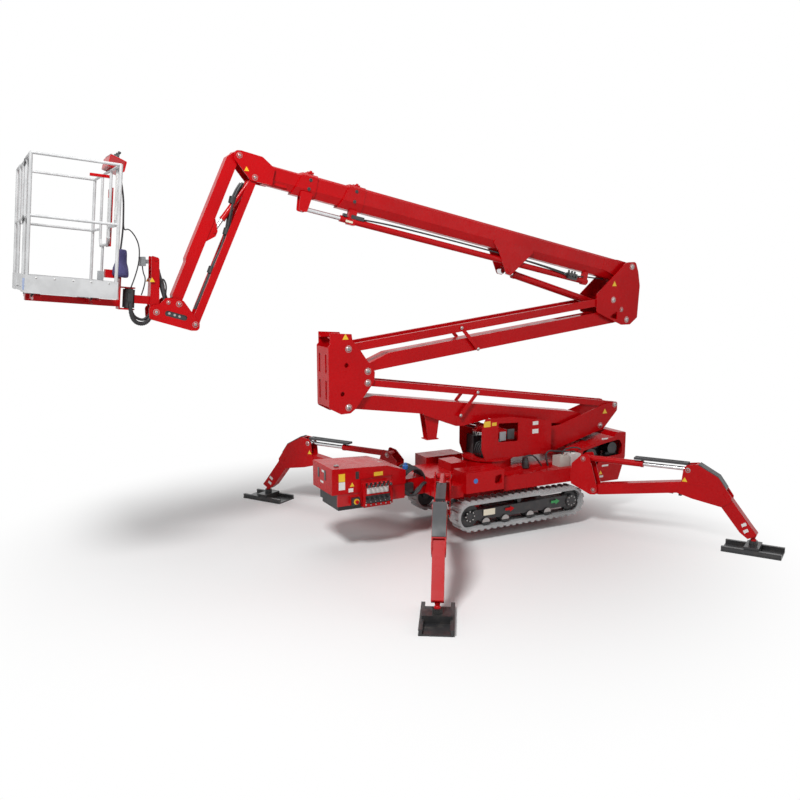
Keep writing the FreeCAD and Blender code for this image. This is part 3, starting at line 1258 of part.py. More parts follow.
def make_valve_bank():
    """Outrigger valve block with lever panel, seated inside the console housing."""
    core = block(-2160, CONSOLE_BACK - CONSOLE_WALL - SEAT_GAP, -CONSOLE_HALF + CONSOLE_WALL + SEAT_GAP,
                 CONSOLE_HALF - 40, 560, 860)
    under = block(-2140, -1500, -CONSOLE_HALF + 40, CONSOLE_HALF - 60, 505, 561)
    panel = block(-1870, -1530, -CONSOLE_HALF - 60, -CONSOLE_HALF + 40, 530, 800)
    levers = []
    for index in range(6):
        x = -1830.0 + index * 54
        levers.append(tube(Vector(x, -CONSOLE_HALF - 62, 760), Vector(x, -CONSOLE_HALF - 110, 810), 7.0))
        levers.append(Part.makeSphere(13.0, Vector(x, -CONSOLE_HALF - 112, 812)))
    stop = Part.makeCylinder(34, 40, Vector(-1960, -CONSOLE_HALF - 20, 615), Vector(0, -1, 0))
    stop_seat = block(-2010, -1900, -CONSOLE_HALF - 20, -CONSOLE_HALF + 50, 570, 665)
    return fused([core, under, panel, stop, stop_seat] + levers)


def make_engine_cover():
    """Engine cover at the rear end: shell with an open side and a low top."""
    front = CHASSIS_FRONT + SEAT_GAP
    profile = [
        (front, 560.0, 0.0),
        (front, 900.0, 10.0),
        (1450.0, 965.0, 0.0),
        (1700.0, 1020.0, 0.0),
        (1765.0, 1075.0, 10.0),
        (1905.0, 1070.0, 20.0),
        (1905.0, 740.0, 10.0),
        (1800.0, 440.0, 10.0),
        (1520.0, 440.0, 20.0),
        (1250.0, 560.0, 0.0),
    ]
    wall = ENGINE_WALL
    outer = slab(profile, -ENGINE_HALF, ENGINE_HALF)
    inner = [
        (front + wall, 560.0 + wall, 0.0),
        (front + wall, 900.0 - wall, 0.0),
        (1450.0, 965.0 - wall, 0.0),
        (1700.0, 1020.0 - wall, 0.0),
        (1765.0, 1075.0 - wall, 0.0),
        (1905.0 - wall, 1070.0 - wall, 0.0),
        (1905.0 - wall, 742.0, 0.0),
        (1800.0 - wall, 440.0 + wall, 0.0),
        (1520.0, 440.0 + wall, 0.0),
        (1255.0, 560.0 + wall, 0.0),
    ]
    shell = outer.cut(slab(inner, -ENGINE_HALF + wall, ENGINE_HALF - wall))
    opening = slab([
        (1200.0, 640.0, 20.0),
        (1200.0, 880.0, 20.0),
        (1560.0, 950.0, 20.0),
        (1800.0, 980.0, 40.0),
        (1850.0, 900.0, 30.0),
        (1850.0, 780.0, 30.0),
        (1500.0, 760.0, 30.0),
        (1420.0, 640.0, 20.0),
    ], -ENGINE_HALF - 1, ENGINE_HALF + 1)
    return shell.cut(opening)


def make_engine():
    """Open engine: crankcase, finned cylinders, fan shroud, silencer, air filter and ribbed hose."""
    case = block(1240, 1600, -230, 230, 575, 770)
    sump = block(1540, 1780, -220, 220, 452, 600)
    barrels = cross_pin(ENGINE_CYLINDER, 70.0, -FIN_REACH, FIN_REACH)
    fins = []
    for index in range(FIN_COUNT):
        y = FIN_REACH - 12 - index * FIN_PITCH
        fins.append(cross_pin(ENGINE_CYLINDER, FIN_RADIUS, y, y + FIN_THICK))
        fins.append(cross_pin(ENGINE_CYLINDER, FIN_RADIUS, -y - FIN_THICK, -y))
    shroud = Part.makeCylinder(168, 60, Vector(1590, 0, 740), Vector(1, 0, 0))
    rim = Part.makeCylinder(120, 20, Vector(1640, 0, 740), Vector(1, 0, 0))
    silencer = cross_pin((1560.0, 900.0), 54.0, -220, 220)
    pipe = block(1500, 1580, -40, 40, 740, 900)
    air_filter = cross_pin(AIR_FILTER, 70.0, -330, -20)
    air_cap = cross_pin(AIR_FILTER, 76.0, -344, -328)
    filter_foot = block(AIR_FILTER[0] - 80, AIR_FILTER[0] - 20, -150, -110, 700, AIR_FILTER[1] - 40)
    hose = Part.makeCylinder(38, 180, Vector(1640, -290, 776), Vector(1, 0, 0))
    ribs = []
    for index in range(HOSE_RIBS):
        ribs.append(Part.makeCylinder(46, 10, Vector(1652 + index * 24, -290, 776), Vector(1, 0, 0)))
    bed = block(CHASSIS_FRONT + ENGINE_WALL + 2 * SEAT_GAP, 1250, -260, 260, 590, 700)
    solid = fused([case, sump, barrels, shroud, silencer, pipe, air_filter, air_cap, filter_foot, hose, bed]
                  + fins + ribs)
    return solid.cut(rim)


def make_tanks():
    """White fluid tanks beside the turret's path."""
    tanks = []
    near = -478.0
    for x0, x1, high in ((770.0, 930.0, 862.0), (950.0, 1100.0, 878.0)):
        tank = block(x0, x1, near, -CHASSIS_HALF - SEAT_GAP, ARM_TOP + SEAT_GAP, high)
        neck = Part.makeCylinder(30, 16, Vector((x0 + x1) / 2, near + 60, high - 2), Vector(0, 0, 1))
        tanks.append(fused([tank, neck]))
    return Part.Compound(tanks)


def make_turret():
    """Turret: ring plate, wide front box with a window, and tail plates with pins."""
    disc = Part.makeCylinder(RING_RADIUS + 20, 16, Vector(0, 0, TURRET_FLOOR - 16), Vector(0, 0, 1))
    seat = TURRET_FLOOR - RING_GAP + SLIDE_GAP
    ring = Part.makeCylinder(RING_RADIUS - 20, RING_GAP - SLIDE_GAP - 14, Vector(0, 0, seat), Vector(0, 0, 1))
    wide = [
        (TURRET_FRONT - 60, 1010.0, 20.0),
        (TURRET_FRONT - 10, TURRET_FLOOR, 0.0),
        (TURRET_BACK, TURRET_FLOOR, 0.0),
        (TURRET_BACK, 1290.0, 20.0),
        (170.0, 1390.0, 20.0),
        (TURRET_FRONT - 10, 1393.0, 20.0),
        (TURRET_FRONT - 60, 1250.0, 20.0),
    ]
    sides = paired_slabs(wide, TURRET_HALF - TURRET_WALL, TURRET_HALF)
    window = [(-12.0, 1090.0, 16.0), (-12.0, 1323.0, 16.0), (282.0, 1310.0, 16.0), (282.0, 1080.0, 16.0)]
    wide_half = TURRET_HALF - 2
    floor = block(TURRET_FRONT - 10, TURRET_BACK, -wide_half, wide_half, TURRET_FLOOR, TURRET_FLOOR + 12)
    tail = [
        (60.0, TURRET_FLOOR, 0.0),
        (900.0, TURRET_FLOOR, 20.0),
        (1720.0, 1088.0, 24.0),
        (1945.0, 1320.0, 30.0),
        (1945.0, 1440.0, 30.0),
        (1740.0, 1420.0, 30.0),
        (1000.0, 1205.0, 60.0),
        (620.0, 1180.0, 60.0),
        (60.0, 1180.0, 0.0),
    ]
    tails = paired_slabs(tail, PLATE_INNER, PLATE_OUTER)
    ribs = []
    for x in (TURRET_BACK - 12, 400.0):
        ribs.extend(both_sides(block(x, x + 12, PLATE_OUTER - 2, TURRET_HALF - 4, TURRET_FLOOR + 8, 1170)))
    bridge = block(1000, 1012, -PLATE_INNER, PLATE_INNER, 905, 930)
    places = (TURRET_BEAM_PIN, TURRET_TIE_PIN, LIFT_BASE)
    pins = [headed_pin(place, PIN_RADIUS, PLATE_OUTER) for place in places]
    solid = fused(sides + tails + [floor, disc, ring, bridge] + ribs)
    solid = solid.cut(slab(window, -TURRET_HALF - 1, TURRET_HALF + 1))
    return fused([solid] + pins)


def make_turret_valves():
    """Valve blocks in the turret's open front and the panel behind its window."""
    blocks = []
    for side_y in (-1, 1):
        low, high = sorted((side_y * 90.0, side_y * (PLATE_INNER + 88)))
        blocks.append(block(-150, 40, low, high, TURRET_FLOOR + 12 + SEAT_GAP, 1120))
    return Part.Compound(blocks)


def cylinder_nodes(name, base, eye, sizes, stroke, pin_radius):
    """Placed barrel and rod of one cylinder, by node name."""
    barrel, rod = cylinder_parts(base, eye, sizes, stroke, pin_radius)
    return {name + "_barrel": placed_along(barrel, base, eye), name + "_rod": placed_along(rod, base, eye)}


def build_nodes():
    """Every node of the lift in the machine frame, by name."""
    nodes = {
        "chassis_frame": make_chassis(),
        "side_boxes": make_side_boxes(),
        "console_housing": make_console_housing(),
        "valve_bank": make_valve_bank(),
        "engine_cover": make_engine_cover(),
        "engine": make_engine(),
        "fluid_tanks": make_tanks(),
        "turret": make_turret(),
        "turret_valves": make_turret_valves(),
        "lower_beam": make_lower_beam(),
        "lower_tie": make_tie(LINK_LOWER_TIE_PIN, TURRET_TIE_PIN, LOWER_TIE_DEPTH),
        "lower_mid_links": make_mid_links(LOWER_LINK_FOOT, LOWER_LINK_TOP),
        "link_plate": make_link_plate(),
        "upper_beam": make_upper_beam(),
        "upper_tie": make_tie(LINK_UPPER_TIE_PIN, HEAD_TIE_PIN, UPPER_TIE_DEPTH),
        "upper_mid_links": make_mid_links(UPPER_LINK_FOOT, UPPER_LINK_TOP),
        "head_plate": make_head_plate(),
        "boom_outer": make_boom_outer(),
        "boom_mid": make_boom_mid(),
        "extension_rod": make_extension_rod(),
        "boom_inner": make_boom_inner(),
        "jib_beam": make_jib_beam(),
        "jib_tie": make_jib_tie(),
        "jib_end": make_jib_end(),
        "basket_post": make_basket_post(),
        "rotator": make_rotator(),
    }
    # Cylinder name, base pin, rod pin, sizes, stroke, pin radius
    cylinders = (
        ("lift", LIFT_BASE, LIFT_EYE, LIFT_CYLINDER, LIFT_STROKE, PIN_RADIUS),
        ("boom", BOOM_CYLINDER_BASE, BOOM_CYLINDER_EYE, BOOM_CYLINDER, BOOM_STROKE, BOOM_PIN_RADIUS),
        ("jib", JIB_TOP_TIE_PIN, JIB_EYE, JIB_CYLINDER, JIB_STROKE, JIB_PIN_RADIUS),
        ("level", LEVEL_BASE, LEVEL_EYE, LEVEL_CYLINDER, LEVEL_STROKE, LEVEL_PIN_RADIUS),
    )
    for name, base, eye, sizes, stroke, pin_radius in cylinders:
        nodes.update(cylinder_nodes(name, base, eye, sizes, stroke, pin_radius))
    for part in ("boom_barrel", "boom_rod"):
        nodes[part].translate(Vector(0, BOOM_CYLINDER_Y, 0))
    basket_makers = {
        "basket_frame": make_basket_frame,
        "basket_gate": make_basket_gate,
        "basket_support": make_basket_support,
        "basket_console": make_basket_console,
    }
    for name, maker in basket_makers.items():
        shape = maker()
        shape.Placement = basket_frame_placement().multiply(shape.Placement)
        nodes[name] = shape
    leg_nodes = cylinder_nodes("leg", LEG_BASE, LEG_EYE, LEG_CYLINDER, LEG_STROKE, LEG_PIN_RADIUS)
    guard = make_rod_guard()
    leg_nodes["leg_rod"] = fused([leg_nodes["leg_rod"], guard])
    leg_nodes["leg_beam"] = make_leg_beam()
    leg_nodes["leg_pad"] = make_leg_pad()
    bracket = make_leg_bracket()
    brackets = []
    # Corner name, side along x, side along y; left is +Y when facing forward travel
    corners = (("front_left", 1, 1), ("front_right", 1, -1), ("rear_left", -1, 1), ("rear_right", -1, -1))
    for corner, side_x, side_y in corners:
        for name, shape in leg_nodes.items():
            nodes[name + "_" + corner] = leg_place(shape, side_x, side_y)
        brackets.append(leg_place(bracket, side_x, side_y))
    nodes["leg_brackets"] = Part.Compound(brackets)
    track = make_track()
    track_frame = make_track_frame()
    for side, flip in (("left", False), ("right", True)):
        for name, shape in (("track", track), ("track_frame", track_frame)):
            nodes[name + "_" + side] = shape.mirror(Vector(0, 0, 0), Vector(0, 1, 0)) if flip else shape
    return nodes


def centre_shift(nodes):
    """Move that puts the origin under the middle of the model's box."""
    box = Part.Compound(list(nodes.values())).optimalBoundingBox(False)
    return Vector(-(box.XMin + box.XMax) / 2, -(box.YMin + box.YMax) / 2, -box.ZMin)


def main():
    """Write one STEP file for each node."""
    nodes = build_nodes()
    shift = centre_shift(nodes)
    print("shift", round(shift.x, 3), round(shift.y, 3), round(shift.z, 3), "nodes", len(nodes))
    os.makedirs("parts", exist_ok=True)
    for name, shape in nodes.items():
        moved = shape.copy()
        moved.translate(shift)
        moved.exportStep("parts/" + name + ".step")


main()
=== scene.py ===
"""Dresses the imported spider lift: a finish for every node and the small pieces beside the solids.

Places are given in millimetres in the machine frame of the part's source: the slew axis is x = 0,
y = 0, the ground is z = 0. Machine.frame turns them into the row frame in metres.
"""
from __future__ import annotations

import json
import logging
import math
from dataclasses import dataclass
from enum import Enum
from typing import Any, Iterable, Sequence

import bmesh
import bpy
from mathutils import Matrix, Vector

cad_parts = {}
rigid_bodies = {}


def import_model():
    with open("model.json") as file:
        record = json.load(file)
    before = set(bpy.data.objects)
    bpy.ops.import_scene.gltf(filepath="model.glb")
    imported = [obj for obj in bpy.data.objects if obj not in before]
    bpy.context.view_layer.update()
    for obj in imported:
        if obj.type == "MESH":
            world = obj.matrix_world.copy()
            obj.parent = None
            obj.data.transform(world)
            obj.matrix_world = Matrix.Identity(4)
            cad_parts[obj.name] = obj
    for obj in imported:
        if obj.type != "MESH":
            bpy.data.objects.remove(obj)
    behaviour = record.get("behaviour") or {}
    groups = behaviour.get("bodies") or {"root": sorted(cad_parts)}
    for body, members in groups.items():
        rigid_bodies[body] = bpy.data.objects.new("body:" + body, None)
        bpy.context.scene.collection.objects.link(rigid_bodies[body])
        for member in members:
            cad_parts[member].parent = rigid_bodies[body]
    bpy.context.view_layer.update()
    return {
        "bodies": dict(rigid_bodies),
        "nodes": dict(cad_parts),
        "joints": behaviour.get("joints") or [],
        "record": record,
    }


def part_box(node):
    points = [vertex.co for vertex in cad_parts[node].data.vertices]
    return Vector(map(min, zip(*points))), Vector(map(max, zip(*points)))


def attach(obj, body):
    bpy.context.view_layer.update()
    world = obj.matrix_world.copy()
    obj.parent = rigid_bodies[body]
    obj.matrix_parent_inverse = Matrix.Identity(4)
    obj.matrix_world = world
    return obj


LOG = logging.getLogger("spider_lift")
Spot = tuple[float, float, float]
Flat = tuple[float, float]
Colour = tuple[float, float, float]
Profile = Sequence[Flat]

SIDES = (-1, 1)
CORNERS = ((1, 1, "front_left"), (1, -1, "front_right"), (-1, 1, "rear_left"), (-1, -1, "rear_right"))


class Value:
    """A number socket of a node tree that Python's operators work on."""

    def __init__(self, kit: "Tree", socket: bpy.types.NodeSocket) -> None:
        """Wraps one output socket."""
        self.kit = kit
        self.socket = socket

    def maths(self, operation: str, *others: Any) -> "Value":
        """Adds one Math node.

        Args:
            operation: the node's operation, such as MULTIPLY.
            others: the second and third inputs, values or numbers.

        Returns:
            The node's result.
        """
        inputs = dict(enumerate((self,) + others))
        return self.kit.value("ShaderNodeMath", {"operation": operation}, inputs)

    def __add__(self, other: Any) -> "Value":
        """Sum of two values."""
        return self.maths("ADD", other)

    __radd__ = __add__

    def __sub__(self, other: Any) -> "Value":
        """Difference of two values."""
        return self.maths("SUBTRACT", other)

    def __rsub__(self, other: float) -> "Value":
        """A number less this value."""
        return (self * -1.0) + other

    def __mul__(self, other: Any) -> "Value":
        """Product of two values."""
        return self.maths("MULTIPLY", other)

    __rmul__ = __mul__

    def above(self, limit: float) -> "Value":
        """One where the value is over a limit, else nought."""
        return self.maths("GREATER_THAN", limit)

    def sine(self) -> "Value":
        """Sine of the value."""
        return self.maths("SINE")

    def ranged(self, low: float, high: float, first: float = 0.0, last: float = 1.0) -> "Value":
        """Maps low..high smoothly onto first..last.

        Args:
            low: value that gives first.
            high: value that gives last.
            first: result at low.
            last: result at high.

        Returns:
            The mapped value.
        """
        settings = {"interpolation_type": "SMOOTHSTEP", "clamp": True}
        inputs = {0: self, 1: low, 2: high, 3: first, 4: last}
        return self.kit.value("ShaderNodeMapRange", settings, inputs)


class Tree:
    """One node tree under construction."""

    def __init__(self, tree: bpy.types.NodeTree) -> None:
        """Starts with an empty tree."""
        self.tree = tree
        self.tree.nodes.clear()

    def node(
        self, kind: str, settings: dict[str, Any] | None = None, inputs: dict[Any, Any] | None = None
    ) -> Any:
        """Adds any node.

        Args:
            kind: the node's type name.
            settings: properties that are set first.
            inputs: socket names or numbers with numbers, colours, values or sockets.

        Returns:
            The new node.
        """
        made = self.tree.nodes.new(kind)
        for key, setting in (settings or {}).items():
            setattr(made, key, setting)
        for key, given in (inputs or {}).items():
            self.feed(made.inputs[key], given)
        return made

    def feed(self, socket: Any, given: Any) -> None:
        """Links or sets one input socket.

        Args:
            socket: the input.
            given: a value or socket to link, or a number or colour to set.
        """
        if isinstance(given, Value):
            self.tree.links.new(given.socket, socket)
        elif isinstance(given, bpy.types.NodeSocket):
            self.tree.links.new(given, socket)
        elif isinstance(given, tuple) and len(given) == 3 and len(socket.default_value) == 4:
            socket.default_value = (*given, 1.0)
        else:
            socket.default_value = given

    def value(self, kind: str, settings: dict[str, Any], inputs: dict[Any, Any]) -> Value:
        """Adds a node and wraps its first output."""
        return Value(self, self.node(kind, settings, inputs).outputs[0])

    def seen(self) -> Value:
        """One for camera, transmission and glossy rays, else nought."""
        rays = self.node("ShaderNodeLightPath")
        names = ("Is Camera Ray", "Is Transmission Ray", "Is Glossy Ray")
        camera, through, glossy = (Value(self, rays.outputs[name]) for name in names)
        return camera.maths("MAXIMUM", through).maths("MAXIMUM", glossy)


class Finishing(Tree):
    """One material under construction."""

    def __init__(self, name: str) -> None:
        """Starts a material with its output and main shader."""
        self.material = bpy.data.materials.new(name)
        self.material.use_nodes = True
        super().__init__(self.material.node_tree)
        self.shader = self.node("ShaderNodeBsdfPrincipled")
        self.output = self.node("ShaderNodeOutputMaterial", {}, {"Surface": self.shader.outputs[0]})

    def shade(self, **inputs: Any) -> None:
        """Feeds the main shader's sockets, named in lower case with underscores."""
        for key, given in inputs.items():
            name = "Specular IOR Level" if key == "specular" else key.replace("_", " ").title()
            self.feed(self.shader.inputs[name], given)

    def place(self) -> tuple[Value, Value, Value]:
        """The surface point's x, y and z at rest in metres."""
        point = self.node("ShaderNodeTexCoord").outputs["Object"]
        split = self.node("ShaderNodeSeparateXYZ", {}, {0: point})
        return Value(self, split.outputs[0]), Value(self, split.outputs[1]), Value(self, split.outputs[2])

    def noise(self, scale: float, detail: float = 2.0) -> Value:
        """Noise over the surface.

        Args:
            scale: cells per metre.
            detail: octaves.

        Returns:
            A value from 0 to 1.
        """
        point = self.node("ShaderNodeTexCoord").outputs["Object"]
        inputs = {"Vector": point, "Scale": scale, "Detail": detail}
        return Value(self, self.node("ShaderNodeTexNoise", {}, inputs).outputs["Fac"])

    def mix(self, mask: Any, first: Any, second: Any) -> bpy.types.NodeSocket:
        """Colour that goes from first to second with the mask."""
        inputs = {"Factor": mask, "A": first, "B": second}
        return self.node("ShaderNodeMix", {"data_type": "RGBA"}, inputs).outputs["Result"]

    def bump(self, height: Value, distance: float) -> None:
        """Bumps the surface by a height field, in metres."""
        made = self.node("ShaderNodeBump", {}, {"Height": height, "Distance": distance, "Strength": 1.0})
        self.feed(self.shader.inputs["Normal"], made.outputs[0])


@dataclass(frozen=True)
class Finish:
    """A finish with its colour, its gloss and what varies over it.

    grain is bump cells per metre, depth the bump in metres, soil the colour that gathers in patches
    and near the ground, and soil_share how much of it shows.
    """

    name: str
    colour: Colour
    roughness: float = 0.4
    metallic: float = 0.0
    coat: float = 0.0
    shade: float = 0.08
    grain: float = 0.0
    depth: float = 0.0
    soil: Colour = (0.18, 0.15, 0.12)
    soil_share: float = 0.0
    specular: float = 0.5

    def dark(self) -> Colour:
        """The colour in its darker patches."""
        return tuple(channel * (1.0 - 2.0 * self.shade) for channel in self.colour)

    def build(self) -> bpy.types.Material:
        """Makes the material.

        Returns:
            The material.
        """
        kit = Finishing(self.name)
        light = tuple(min(1.0, channel * (1.0 + self.shade)) for channel in self.colour)
        colour = kit.mix(kit.noise(1.7, 3.0).ranged(0.3, 0.7), self.dark(), light)
        rough = kit.noise(9.0, 4.0).ranged(0.3, 0.75, self.roughness * 0.85, self.roughness * 1.25)
        if self.soil_share:
            low = kit.place()[2].ranged(0.05, 0.9, 1.0, 0.15)
            dust = kit.noise(14.0, 6.0).ranged(0.45, 0.75) * low * self.soil_share
            colour = kit.mix(dust, colour, self.soil)
            rough = rough + dust * 0.3
        kit.shade(base_color=colour, roughness=rough, metallic=self.metallic, specular=self.specular)
        kit.shade(coat_weight=self.coat, coat_roughness=0.06)
        if self.grain:
            kit.bump(self.relief(kit), self.depth)
        return kit.material

    def relief(self, kit: Finishing) -> Value:
        """Height field of the finish."""
        return kit.noise(self.grain, 3.0)


@dataclass(frozen=True)
class TreadPlate(Finish):
    """Bright aluminium tube with duller tread plate on the kick boards near the floor.

    The boards' top edge is low + rise metres high at x = 0 and climbs by slope.
    """

    low: float = 2.9
    rise: float = 0.19
    slope: float = 0.0945
    pitch: float = 60.0
    lean: float = 0.6
    board: Colour = (0.36, 0.295, 0.245)
    raised: Colour = (0.56, 0.49, 0.43)

    def lozenges(self, kit: Finishing) -> Value:
        """Crossing raised bars of the tread.

        Args:
            kit: the material under construction.

        Returns:
            One on a bar, nought beside it.
        """
        along, across, up = kit.place()
        first = ((along + across + up * self.lean) * self.pitch).sine()
        second = ((along + across - up * self.lean) * self.pitch).sine()
        return (first * second).ranged(0.1, 0.6)

    def build(self) -> bpy.types.Material:
        """Makes the material, parted at the top edge of the boards.

        Returns:
            The material.
        """
        kit = Finishing(self.name)
        along, _, up = kit.place()
        board = ((along * -self.slope) + up).maths("LESS_THAN", self.low + self.rise)
        tread = self.lozenges(kit)
        cloud = kit.noise(6.0, 4.0).ranged(0.3, 0.7)
        scuffed = kit.mix(cloud, tuple(channel * 0.82 for channel in self.colour), self.colour)
        plate = kit.mix(tread, self.board, self.raised)
        rough = kit.noise(30.0, 4.0).ranged(0.3, 0.7, 0.32, 0.5)
        kit.shade(base_color=kit.mix(board, scuffed, plate), roughness=rough)
        kit.shade(metallic=board * -0.1 + self.metallic)
        kit.bump(tread * board + kit.noise(240.0, 3.0) * 0.04, self.depth)
        return kit.material


@dataclass(frozen=True)
class Fabric(Finish):
    """Woven cloth."""

    def relief(self, kit: Finishing) -> Value:
        """Crossing threads.

        Args:
            kit: the material under construction.

        Returns:
            The height field.
        """
        along, across, up = kit.place()
        pitch = 2.0 * math.pi * self.grain
        return ((along + across) * pitch).sine() * (up * pitch).sine()


@dataclass(frozen=True)
class Split:
    """Two finishes on one solid, parted by a plane across an axis."""

    name: str
    low: Finish
    high: Finish
    axis: int
    place: float

    def build(self) -> bpy.types.Material:
        """Makes the material with a mask along the axis.

        Returns:
            The material.
        """
        kit = Finishing(self.name)
        mask = kit.place()[self.axis].above(self.place)
        cloud = kit.noise(1.7, 3.0).ranged(0.3, 0.7)
        tones = [kit.mix(cloud, finish.dark(), finish.colour) for finish in (self.low, self.high)]
        rough = mask * (self.high.roughness - self.low.roughness) + self.low.roughness
        metal = mask * (self.high.metallic - self.low.metallic) + self.low.metallic
        kit.shade(base_color=kit.mix(mask, *tones), roughness=rough + kit.noise(60.0, 3.0) * 0.08)
        kit.shade(metallic=metal)
        kit.bump(kit.noise(180.0, 3.0), 0.0002)
        return kit.material


class Paint(Enum):
    """Every finish of the lift: name, colour, roughness, metallic, coat, shade, grain and depth."""

    RED = Finish(
        "gloss_red_paint", (0.49, 0.0015, 0.004), 0.28, 0.0, 0.05, 0.05, 160.0, 0.0002,
        soil_share=0.03, specular=0.14,
    )
    # Painted shade: a darker copy of the red paint for red parts that sit in shade, here the basket console's
    # cheeks.
    DARK_RED = Finish(
        "shaded_red_paint", (0.33, 0.006, 0.01), 0.4, 0.0, 0.4, 0.06, 160.0, 0.0002, soil_share=0.1
    )
    CHROME = Finish("polished_chrome", (0.66, 0.66, 0.67), 0.14, 1.0, 0.0, 0.04)
    SILVER = Finish("zinc_plated_steel", (0.42, 0.41, 0.40), 0.34, 1.0, 0.0, 0.10, 300.0, 0.0003)
    ALUMINIUM = TreadPlate(
        "bright_basket_alloy", (0.58, 0.585, 0.59), 0.38, 0.3, 0.0, 0.10, 1.0, 0.0025
    )
    TRACK = Finish(
        "lugged_track_rubber", (0.40, 0.405, 0.41), 0.75, 0.0, 0.0, 0.14, 120.0, 0.0012,
        (0.30, 0.29, 0.27), 0.4,
    )
    BLACK = Finish(
        "black_enamel", (0.018, 0.018, 0.02), 0.42, 0.0, 0.25, 0.15, 180.0, 0.0004, soil_share=0.15
    )
    GREY = Finish(
        "dark_grey_steel", (0.06, 0.062, 0.066), 0.5, 0.1, 0.0, 0.12, 180.0, 0.0004, soil_share=0.2
    )
    RUBBER = Finish("black_rubber", (0.02, 0.02, 0.02), 0.6, 0.0, 0.0, 0.1, 260.0, 0.0004)
    HOSE = Finish("hose_rubber", (0.022, 0.022, 0.024), 0.5, 0.0, 0.0, 0.1, 420.0, 0.0005)
    WHITE = Finish(
        "moulded_white_plastic", (0.78, 0.78, 0.76), 0.42, 0.0, 0.1, 0.04, 90.0, 0.0004,
        (0.4, 0.36, 0.3), 0.12,
    )
    BEIGE = Finish("beige_plastic", (0.55, 0.53, 0.48), 0.5, 0.0, 0.0, 0.05, 120.0, 0.0004)
    PANEL = Finish("grey_panel", (0.30, 0.31, 0.32), 0.45, 0.0, 0.1, 0.05, 150.0, 0.0003)
    YELLOW = Finish("yellow_film", (0.85, 0.55, 0.02), 0.35, 0.0, 0.2, 0.03, 80.0, 0.0001)
    BLUE = Finish("blue_film", (0.03, 0.16, 0.50), 0.35, 0.0, 0.2, 0.03, 80.0, 0.0001)
    GREEN = Finish("green_film", (0.03, 0.30, 0.08), 0.35, 0.0, 0.2, 0.03, 80.0, 0.0001)
    CREAM = Finish("cream_film", (0.80, 0.74, 0.58), 0.4, 0.0, 0.1, 0.03, 80.0, 0.0001)
    BAG = Fabric("violet_cover_cloth", (0.10, 0.09, 0.26), 0.8, 0.0, 0.0, 0.15, 420.0, 0.0006)
    WEBBING = Fabric("grey_webbing", (0.26, 0.26, 0.27), 0.8, 0.0, 0.0, 0.1, 900.0, 0.0004)

    def material(self) -> bpy.types.Material:
        """The finish's material, made on first use."""
        return bpy.data.materials.get(self.value.name) or self.value.build()


SLOTS = {
    "red_paint": (Paint.RED, Paint.DARK_RED),
    "chrome": (Paint.CHROME, Paint.SILVER),
    "basket_aluminium": (Paint.ALUMINIUM,),
    "track_rubber": (Paint.TRACK, Paint.RUBBER, Paint.HOSE, Paint.BAG, Paint.WEBBING),
    "black_steel": (Paint.BLACK, Paint.GREY, Paint.PANEL),
    "white_plastic": (Paint.WHITE, Paint.BEIGE, Paint.YELLOW, Paint.BLUE, Paint.GREEN, Paint.CREAM),
}


@dataclass
class Machine:
    """The machine frame: where its slew axis stands in the row frame, and its slanted axes."""

    track_centre: float = 0.130
    boom_angle: float = 11.85
    boom_pivot: Flat = (2103.0, 3207.0)
    basket_tilt: float = 5.4
    basket_corner: Flat = (-5264.0, 3011.0)
    leg_azimuth: float = 58.3
    leg_hinge: Flat = (1100.0, 774.0)
    shift: float = 0.0

    def settle(self) -> None:
        """Reads the slew axis's place from the track's box."""
        low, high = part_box("track_left")
        self.shift = (low[0] + high[0]) / 2 - self.track_centre

    def frame(self) -> Matrix:
        """Millimetres in the machine frame to metres in the row frame."""
        return Matrix.Translation((self.shift, 0, 0)) @ Matrix.Diagonal((0.001, 0.001, 0.001, 1.0))

    def turned(self, foot: Flat, angle: float) -> Matrix:
        """Frame at a point of the middle plane, turned about y by an angle in degrees."""
        turn = Matrix.Rotation(math.radians(angle), 4, "Y")
        return self.frame() @ Matrix.Translation((foot[0], 0, foot[1])) @ turn

    def boom(self) -> Matrix:
        """Frame of the boom: x runs out along it from the pivot, y to the near side, z up."""
        return self.turned(self.boom_pivot, self.boom_angle) @ Matrix.Rotation(math.pi, 4, "Z")

    def basket(self) -> Matrix:
        """Frame of the tilted basket."""
        return self.turned(self.basket_corner, self.basket_tilt)

    def leg(self, side_x: int, side_y: int) -> Matrix:
        """Frame of one leg: x outwards from the hinge, z up from the ground.

        Args:
            side_x: 1 at the front, -1 at the rear.
            side_y: 1 on the left, -1 on the right.

        Returns:
            The frame.
        """
        azimuth = math.radians(self.leg_azimuth)
        angle = math.atan2(side_y * math.sin(azimuth), side_x * math.cos(azimuth))
        hinge = Matrix.Translation((side_x * self.leg_hinge[0], side_y * self.leg_hinge[1], 0))
        return self.frame() @ hinge @ Matrix.Rotation(angle, 4, "Z")


MACHINE = Machine()


def oblong(low: Flat, high: Flat) -> tuple[Flat, ...]:
    """Corners of an upright rectangle."""
    return (low, (high[0], low[1]), high, (low[0], high[1]))


